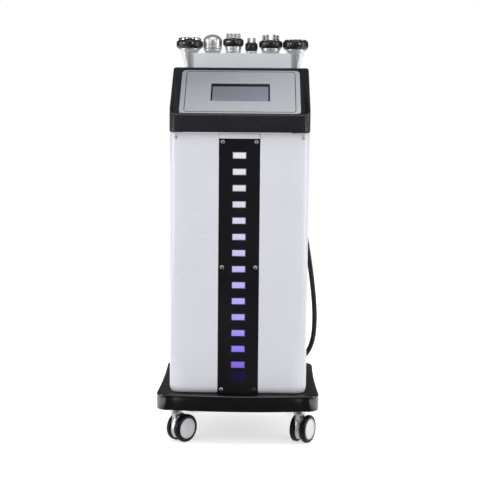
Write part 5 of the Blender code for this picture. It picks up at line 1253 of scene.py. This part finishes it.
POWDER_COAT = moulded("powder_coat", (0.014, 0.014, 0.015), (0.024, 0.024, 0.026), 0.50, 0.0007, 0.00009,
                      specular=0.3)
dress(galvanised_material(), "chassis")
dress(CASE_METAL, "power_supply", "ultrasound_generator")
dress(ZINC, "radio_generator")
dress(BLACK_PLASTIC, "fan_frame")
dress(SOFT_BLACK, "fan_rotor")
dress(BOARD, "display_module")
dress(diffuser_material(), "light_diffuser")
dress(GREY_PAINT, "rack_shelf")
dress(RUBBER, "rack_liner")
dress(POWDER_COAT, "base_plate")


# Rear panel and what it carries

REAR_WIDTH, REAR_BOTTOM, REAR_TOP, REAR_SHEET = 0.324, 0.150, TOWER_TOP - 0.0008, 0.002
VENT_COUNT, VENT_WIDTH, VENT_HEIGHT, VENT_PITCH, VENT_MIDDLE = 7, 0.110, 0.006, 0.016, 0.745
FAN_Z, FAN_BORE, FAN_SLOTS, FAN_SLOT_HEIGHT, FAN_SCREW = 0.610, 0.0365, 7, 0.006, 0.0358
SOCKET_MARGIN, SOCKET_DEPTH, SOCKET_HOLE = 0.018, 0.0125, 0.0127
INLET_X, INLET_Z, INLET_WIDTH, INLET_HEIGHT, INLET_DEPTH = -0.095, 0.215, 0.030, 0.062, 0.028
INLET_RIM, INLET_PROUD = 0.006, 0.003
INLET_FACE = PANEL_OUTSIDE + GAP + INLET_PROUD
ROCKER_Z, ROCKER_AXIS, ROCKER_REST = INLET_Z + INLET_HEIGHT / 4, INLET_FACE - 0.005, math.radians(-7)
RECESS_Z = INLET_Z - INLET_HEIGHT / 4
DRAWER_Z = (RECESS_Z + ROCKER_Z) / 2


def make_rear_panel():
    """Painted sheet with rounded vents, round socket holes and the inlet's opening."""
    bm = bmesh.new()
    add_slab(bm, REAR_WIDTH, REAR_TOP - REAR_BOTTOM, 0.008, -REAR_SHEET, 0, 0.0006,
             facing_rear(0, PANEL_OUTSIDE, (REAR_BOTTOM + REAR_TOP) / 2))
    panel = add_object("rear_cover", finished("rear_cover", bm), WHITE_PAINT)
    holes, through = bmesh.new(), REAR_SHEET * 2

    def slot_at(width, height, z, corner, x=0.0):
        add_slab(holes, width, height, corner, -through, through, 0, facing_rear(x, PANEL_OUTSIDE, z))

    for i in range(VENT_COUNT):
        slot_at(VENT_WIDTH, VENT_HEIGHT, VENT_MIDDLE + VENT_PITCH * (i - (VENT_COUNT - 1) / 2),
                VENT_HEIGHT * 0.49)
    for i in range(FAN_SLOTS):
        off = 2 * FAN_BORE / FAN_SLOTS * (i - (FAN_SLOTS - 1) / 2)
        half = math.sqrt((FAN_BORE + FAN_SLOT_HEIGHT) ** 2 - off ** 2) - FAN_SLOT_HEIGHT
        slot_at(half * 2, FAN_SLOT_HEIGHT, FAN_Z + off, FAN_SLOT_HEIGHT * 0.49)
    slot_at(INLET_WIDTH + GAP * 2, INLET_HEIGHT + GAP * 2, INLET_Z, 0.002, INLET_X)
    for x, z in SOCKETS:
        add_lathe(holes, [(0, -through), (SOCKET_HOLE, -through), (SOCKET_HOLE, through), (0, through)],
                  along_y(x, PANEL_OUTSIDE, z), 40)
    cut_and_bake(panel, [into_scene("rear_holes", finished("rear_holes", holes))])
    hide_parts("rear_panel")


# The rear screws: how far each sort stands back, its radius and height, and its places across and up.
REAR_SCREWS = (
    (PANEL_OUTSIDE, 0.0038, 0.0019, (-0.1535, 0.1535), (0.1600, 0.3780, 0.5960, 0.8100)),
    (PANEL_OUTSIDE + 0.0020, 0.0036, 0.0019, (-FAN_SCREW, FAN_SCREW), (FAN_Z - FAN_SCREW, FAN_Z + FAN_SCREW)),
    (INLET_FACE, 0.0024, 0.0010, (INLET_X - 0.0180, INLET_X + 0.0180), (INLET_Z,)),
    (RACK_FRONT + RACK_SHEET * 2 + GAP, 0.0036, 0.0019, (-0.1050, -0.0540, 0.0540, 0.1120), (0.9880,)),
    (RACK_FRONT + RACK_SHEET, 0.0036, 0.0019, (-0.1180, 0.1180), (0.8700, 0.9300)),
)


def make_rear_screws():
    bm = bmesh.new()
    for back, radius, proud, columns, heights in REAR_SCREWS:
        for x in columns:
            for z in heights:
                add_screw(bm, facing_rear(x, back, z), radius, proud)
    add_piece("rear_screws", bm, [STEEL, RECESS_PAINTED_SHADE])


def make_fan_guard():
    """Chromed wire guard: four rings on two crossed wires that end in eyes under the fan's screws."""
    bm = bmesh.new()
    wire, out, reach = 0.0009, PANEL_OUTSIDE + 0.0011, FAN_SCREW
    span = reach - 0.0038

    def add_wire(points):
        add_tube(bm, points, [wire] * len(points), 8)

    def add_ring(x, y, z, radius, steps):
        add_wire([(u, y, v) for u, v in arc(x, z, radius, 0, 360 / steps, steps + 1)])

    for radius in (0.0100, 0.0180, 0.0260, 0.0340):
        add_ring(0, out + wire * 1.7, FAN_Z, radius, 40)
    for lean in (-1, 1):
        add_wire([(-span, out, FAN_Z - span * lean), (0, out, FAN_Z), (span, out, FAN_Z + span * lean)])
        for side in (-1, 1):
            add_ring(side * reach, out, FAN_Z + side * lean * reach, 0.0046, 20)
    add_piece("fan_guard", bm, CHROME)


def add_sleeve(bm, profile, matrix, facets, slot):
    """Turns a closed outline about local Z into a ring."""
    rings = [[bm.verts.new(matrix @ turn @ Vector((r, 0, z))) for r, z in profile] for turn in spokes(facets)]
    for i, ring in enumerate(rings):
        after = rings[(i + 1) % facets]
        for j in range(len(profile)):
            k = (j + 1) % len(profile)
            bm.faces.new((ring[j], after[j], after[k], ring[k])).material_index = slot


def make_sockets():
    """Nickel bezels with a milled rim, and insulators with gold pins round a key."""
    bm = bmesh.new()
    deep, plate, rows = SOCKET_DEPTH, REAR_SHEET + GAP * 2, (SOCKETS[0][1], SOCKETS[-1][1])
    add_slab(bm, 0.140 + SOCKET_MARGIN * 2, rows[1] - rows[0] + SOCKET_MARGIN * 2, 0.003, -plate - 0.004,
             -plate, 0.0004, facing_rear(0, PANEL_OUTSIDE, sum(rows) / 2))
    bezel = [(0.0076, -deep), (0.0076, 0.0026), (0.0080, 0.0032), (0.0112, 0.0032), (0.0118, 0.0027),
             (0.0118, 0.0018), (0.0137, 0.0018), (0.0142, 0.0013), (0.0142, GAP / 3), (0.0120, GAP / 3),
             (0.0120, -deep)]
    core = [(0, -deep - 0.003), (0.0117, -deep - 0.003), (0.0117, -deep + 0.0002), (0.0073, -deep + 0.0004),
            (0.0070, -deep + 0.0010), (0, -deep + 0.0010)]
    for x, z in SOCKETS:
        place = along_y(x, PANEL_OUTSIDE, z)
        add_sleeve(bm, bezel, place, 48, 1)
        for mill in spokes(36):
            add_prism(bm, ((0.0139, -0.0005), (0.0145, -0.0003), (0.0145, 0.0003), (0.0139, 0.0005)),
                      (0.0002, 0.0013), place @ mill, 1)
        add_lathe(bm, core, place, 32)
        add_prism(bm, ((-0.0011, -0.0008), (0.0011, -0.0008), (0.0011, 0.0009), (-0.0011, 0.0009)),
                  (-deep + 0.0005, 0.0010), place @ Matrix.Translation((0, 0.0070, 0)))
        for pin in around(5, 0.0040, 126):
            add_lathe(bm, [(0, -deep), (0.0006, -deep), (0.0006, -0.0042), (0.0004, -0.0037), (0, -0.0035)],
                      place @ pin, 10, 2)
    add_piece("socket_set", bm, [SOFT_BLACK, SATIN, BRASS], "socket_block")


def on_inlet(z, x=0.0):
    return facing_rear(INLET_X + x, INLET_FACE, z)


def make_inlet():
    """Mains inlet: flange, plug recess with three blades, fuse drawer and the rocker's opening."""
    rim = INLET_RIM
    rings = ((0, 0.0015, -INLET_DEPTH), (0, 0.0015, -INLET_PROUD), (rim, 0.003, -INLET_PROUD),
             (rim, 0.003, -0.0007), (rim - 0.0002, 0.0028, -0.0002), (rim - 0.0007, 0.0023, 0))
    bm, cuts, drawer = bmesh.new(), bmesh.new(), bmesh.new()
    add_sections(bm, [(rounded_rectangle(INLET_WIDTH + out * 2, INLET_HEIGHT + out * 2, radius), level)
                      for out, radius, level in rings], on_inlet(INLET_Z))
    body = add_object("mains_socket", finished("mains_socket", bm), BLACK_PLASTIC)
    add_slab(cuts, 0.022, 0.016, 0.0035, -0.018, 0.01, 0, on_inlet(RECESS_Z))
    add_slab(cuts, 0.0196, 0.0142, 0.0008, -0.0103, 0.01, 0, on_inlet(ROCKER_Z))
    add_slab(drawer, 0.0230, 0.0104, 0.0012, -0.0008, 0.01, 0, on_inlet(DRAWER_Z))
    cut_and_bake(body, [into_scene("inlet_cuts", finished("inlet_cuts", cuts)),
                        into_scene("drawer_seat", finished("drawer_seat", drawer))])
    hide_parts("mains_inlet")
    bm = bmesh.new()
    add_slab(bm, 0.0222, 0.0096, 0.0010, -0.0008 + GAP, 0.0004, 0.0003, on_inlet(DRAWER_Z))
    add_slab(bm, 0.0080, 0.0014, 0.0006, 0.0003, 0.0010, 0.0002, on_inlet(DRAWER_Z - 0.0028))
    for x, z in ((-0.0070, -0.0020), (0, 0.0022), (0.0070, -0.0020)):
        add_slab(bm, 0.0020, 0.0042, 0.0004, -0.0180, -0.0030, 0.0004, on_inlet(RECESS_Z + z, x), 1)
    add_piece("fuse_drawer", bm, [SOFT_BLACK, STEEL])


def make_rocker():
    """Mains rocker with a hollow face, a bar on its upper half and a ring on its lower half."""
    place = Matrix.Translation((INLET_X, ROCKER_AXIS, ROCKER_Z)) @ Matrix.Rotation(ROCKER_REST, 4, 'X')
    half, wide, soft = 0.0065, 0.0095, 0.0004
    bm = bmesh.new()

    def face(z):
        return 0.00535 + 0.00115 * (abs(z) / half) ** 1.6

    def mark(outline):
        add_rings(bm, [[place @ Vector((x, face(z) + lift, z)) for x, z in outline]
                       for lift in (-0.0003, 0.00008)],
                  slot=1)

    levels = [-half * 0.92 + half * 1.84 * i / 10 for i in range(11)]
    section = [(-0.0035, -half * 0.6)] + [(face(z), z) for z in levels] + [(-0.0035, half * 0.6)]
    add_rings(bm, [[place @ Vector((x, y - (inset if y > 0 else -inset), z * (1 - inset / half)))
                    for y, z in section]
                   for x, inset in ((-wide, soft), (-wide + soft, 0), (wide - soft, 0), (wide, soft))])
    mark([(-0.0005, 0.0016), (0.0005, 0.0016), (0.0005, 0.0042), (-0.0005, 0.0042)])
    for i in range(20):
        a, b = (2 * math.pi * k / 20 for k in (i, i + 1))
        mark([(r * math.cos(t), -0.0030 + r * math.sin(t))
              for r, t in ((0.0009, a), (0.0014, a), (0.0014, b), (0.0009, b))])
    add_piece("rocker_key", bm, [SOFT_BLACK, LAMP_WHITE], "rocker_switch", body="rocker")


make_rear_panel()
make_rear_screws()
make_fan_guard()
make_sockets()
make_inlet()
make_rocker()


# Stage and light

FRONT_DIM, REAR_GLOW, FILL_STRENGTH, FLOOR_LIFT, FLOOR_REACH = 0.04, 0.18, 0.50, 0.58, 30.0


def seen_rays(look):
    """The light path's outputs, and a value of one for what the camera sees, straight or through glass."""
    path = look.add("LightPath").node.outputs
    return path, look.math('MAXIMUM', path["Is Camera Ray"], path["Is Transmission Ray"])


def make_stage():
    """White floor. Glossy surfaces find it dark, but for what lies behind the machine or close beside it."""
    mesh = bpy.data.meshes.new("floor")
    mesh.from_pydata([(x * FLOOR_REACH, y * FLOOR_REACH, 0) for x, y in ((-1, -1), (1, -1), (1, 1), (-1, 1))],
                     [], [(0, 1, 2, 3)])
    look = Look("floor_white")
    path, seen = seen_rays(look)
    where = look.add("TexCoord", out="Object")
    axes = look.add("SeparateXYZ", {"Vector": where}).node.outputs
    behind = look.ranged(axes["Y"], 0.0, 1.0, -0.36, 0.0, 'SMOOTHSTEP')
    beside = look.ranged(look.math('ABSOLUTE', axes["X"]), 0.0, 1.0, 0.30, 0.55, 'SMOOTHSTEP')
    distance = look.add("VectorMath", {0: where}, "Value", operation='LENGTH')
    close = look.math('MULTIPLY', beside, look.ranged(distance, 1.0, 0.0, 0.90, 1.30, 'SMOOTHSTEP'))
    pale = look.math('MULTIPLY', look.math('MAXIMUM', behind, close), path["Is Glossy Ray"])
    dark = look.math('SUBTRACT', path["Is Glossy Ray"], pale)
    mesh.materials.append(look.set({
        "Base Color": look.mix(dark, (0.90, 0.90, 0.90, 1), (0.05, 0.05, 0.05, 1)), "Roughness": 0.9,
        "Specular IOR Level": 0.2, "Emission Color": (1, 1, 1, 1),
        "Emission Strength": look.math('MULTIPLY', look.math('MAXIMUM', seen, pale), FLOOR_LIFT)}))
    into_scene("floor", mesh)


def make_world():
    """White to the camera, an even fill for shapes, and a dim room with a brighter back in reflections."""
    look = Look("studio", bpy.data.worlds.new("studio"))
    bpy.context.scene.world = look.owner
    path, seen = seen_rays(look)
    room = look.ranged(look.axes("Generated")["Y"], FRONT_DIM, REAR_GLOW, 0.35, 1.0, 'SMOOTHSTEP')
    power = look.mix(seen, look.mix(path["Is Glossy Ray"], FILL_STRENGTH, room, 'FLOAT'), 1.0, 'FLOAT')
    background = look.nodes["Background"].inputs
    look.feed(background["Strength"], power)
    look.feed(background["Color"], (1, 1, 1, 1))


def make_lamp(name, place, aim_height, width, height, watts, mirrored=True):
    data = bpy.data.lights.new(name, 'AREA')
    data.shape, data.size, data.size_y, data.energy = 'RECTANGLE', width, height, watts
    lamp = into_scene(name, data)
    lamp.location, lamp.visible_glossy = place, mirrored
    lamp.rotation_euler = (Vector((0, 0, aim_height)) - Vector(place)).to_track_quat('-Z', 'Y').to_euler()


make_stage()
make_world()
make_lamp("left_softbox", (-2.8, -0.8, 1.3), 0.6, 1.2, 2.6, 30)
make_lamp("right_softbox", (2.8, -0.8, 1.3), 0.6, 1.2, 2.6, 28)
make_lamp("left_front_softbox", (-1.55, -2.5, 1.9), 0.7, 0.5, 0.9, 9)
make_lamp("right_front_softbox", (1.55, -2.5, 1.9), 0.7, 0.5, 0.9, 9)
make_lamp("top_softbox", (0, -1.2, 3.2), 0.6, 2.4, 1.6, 24)
make_lamp("rear_softbox", (0.4, 2.8, 2.0), 0.6, 2.0, 2.0, 28, mirrored=False)

bpy.context.view_layer.update()
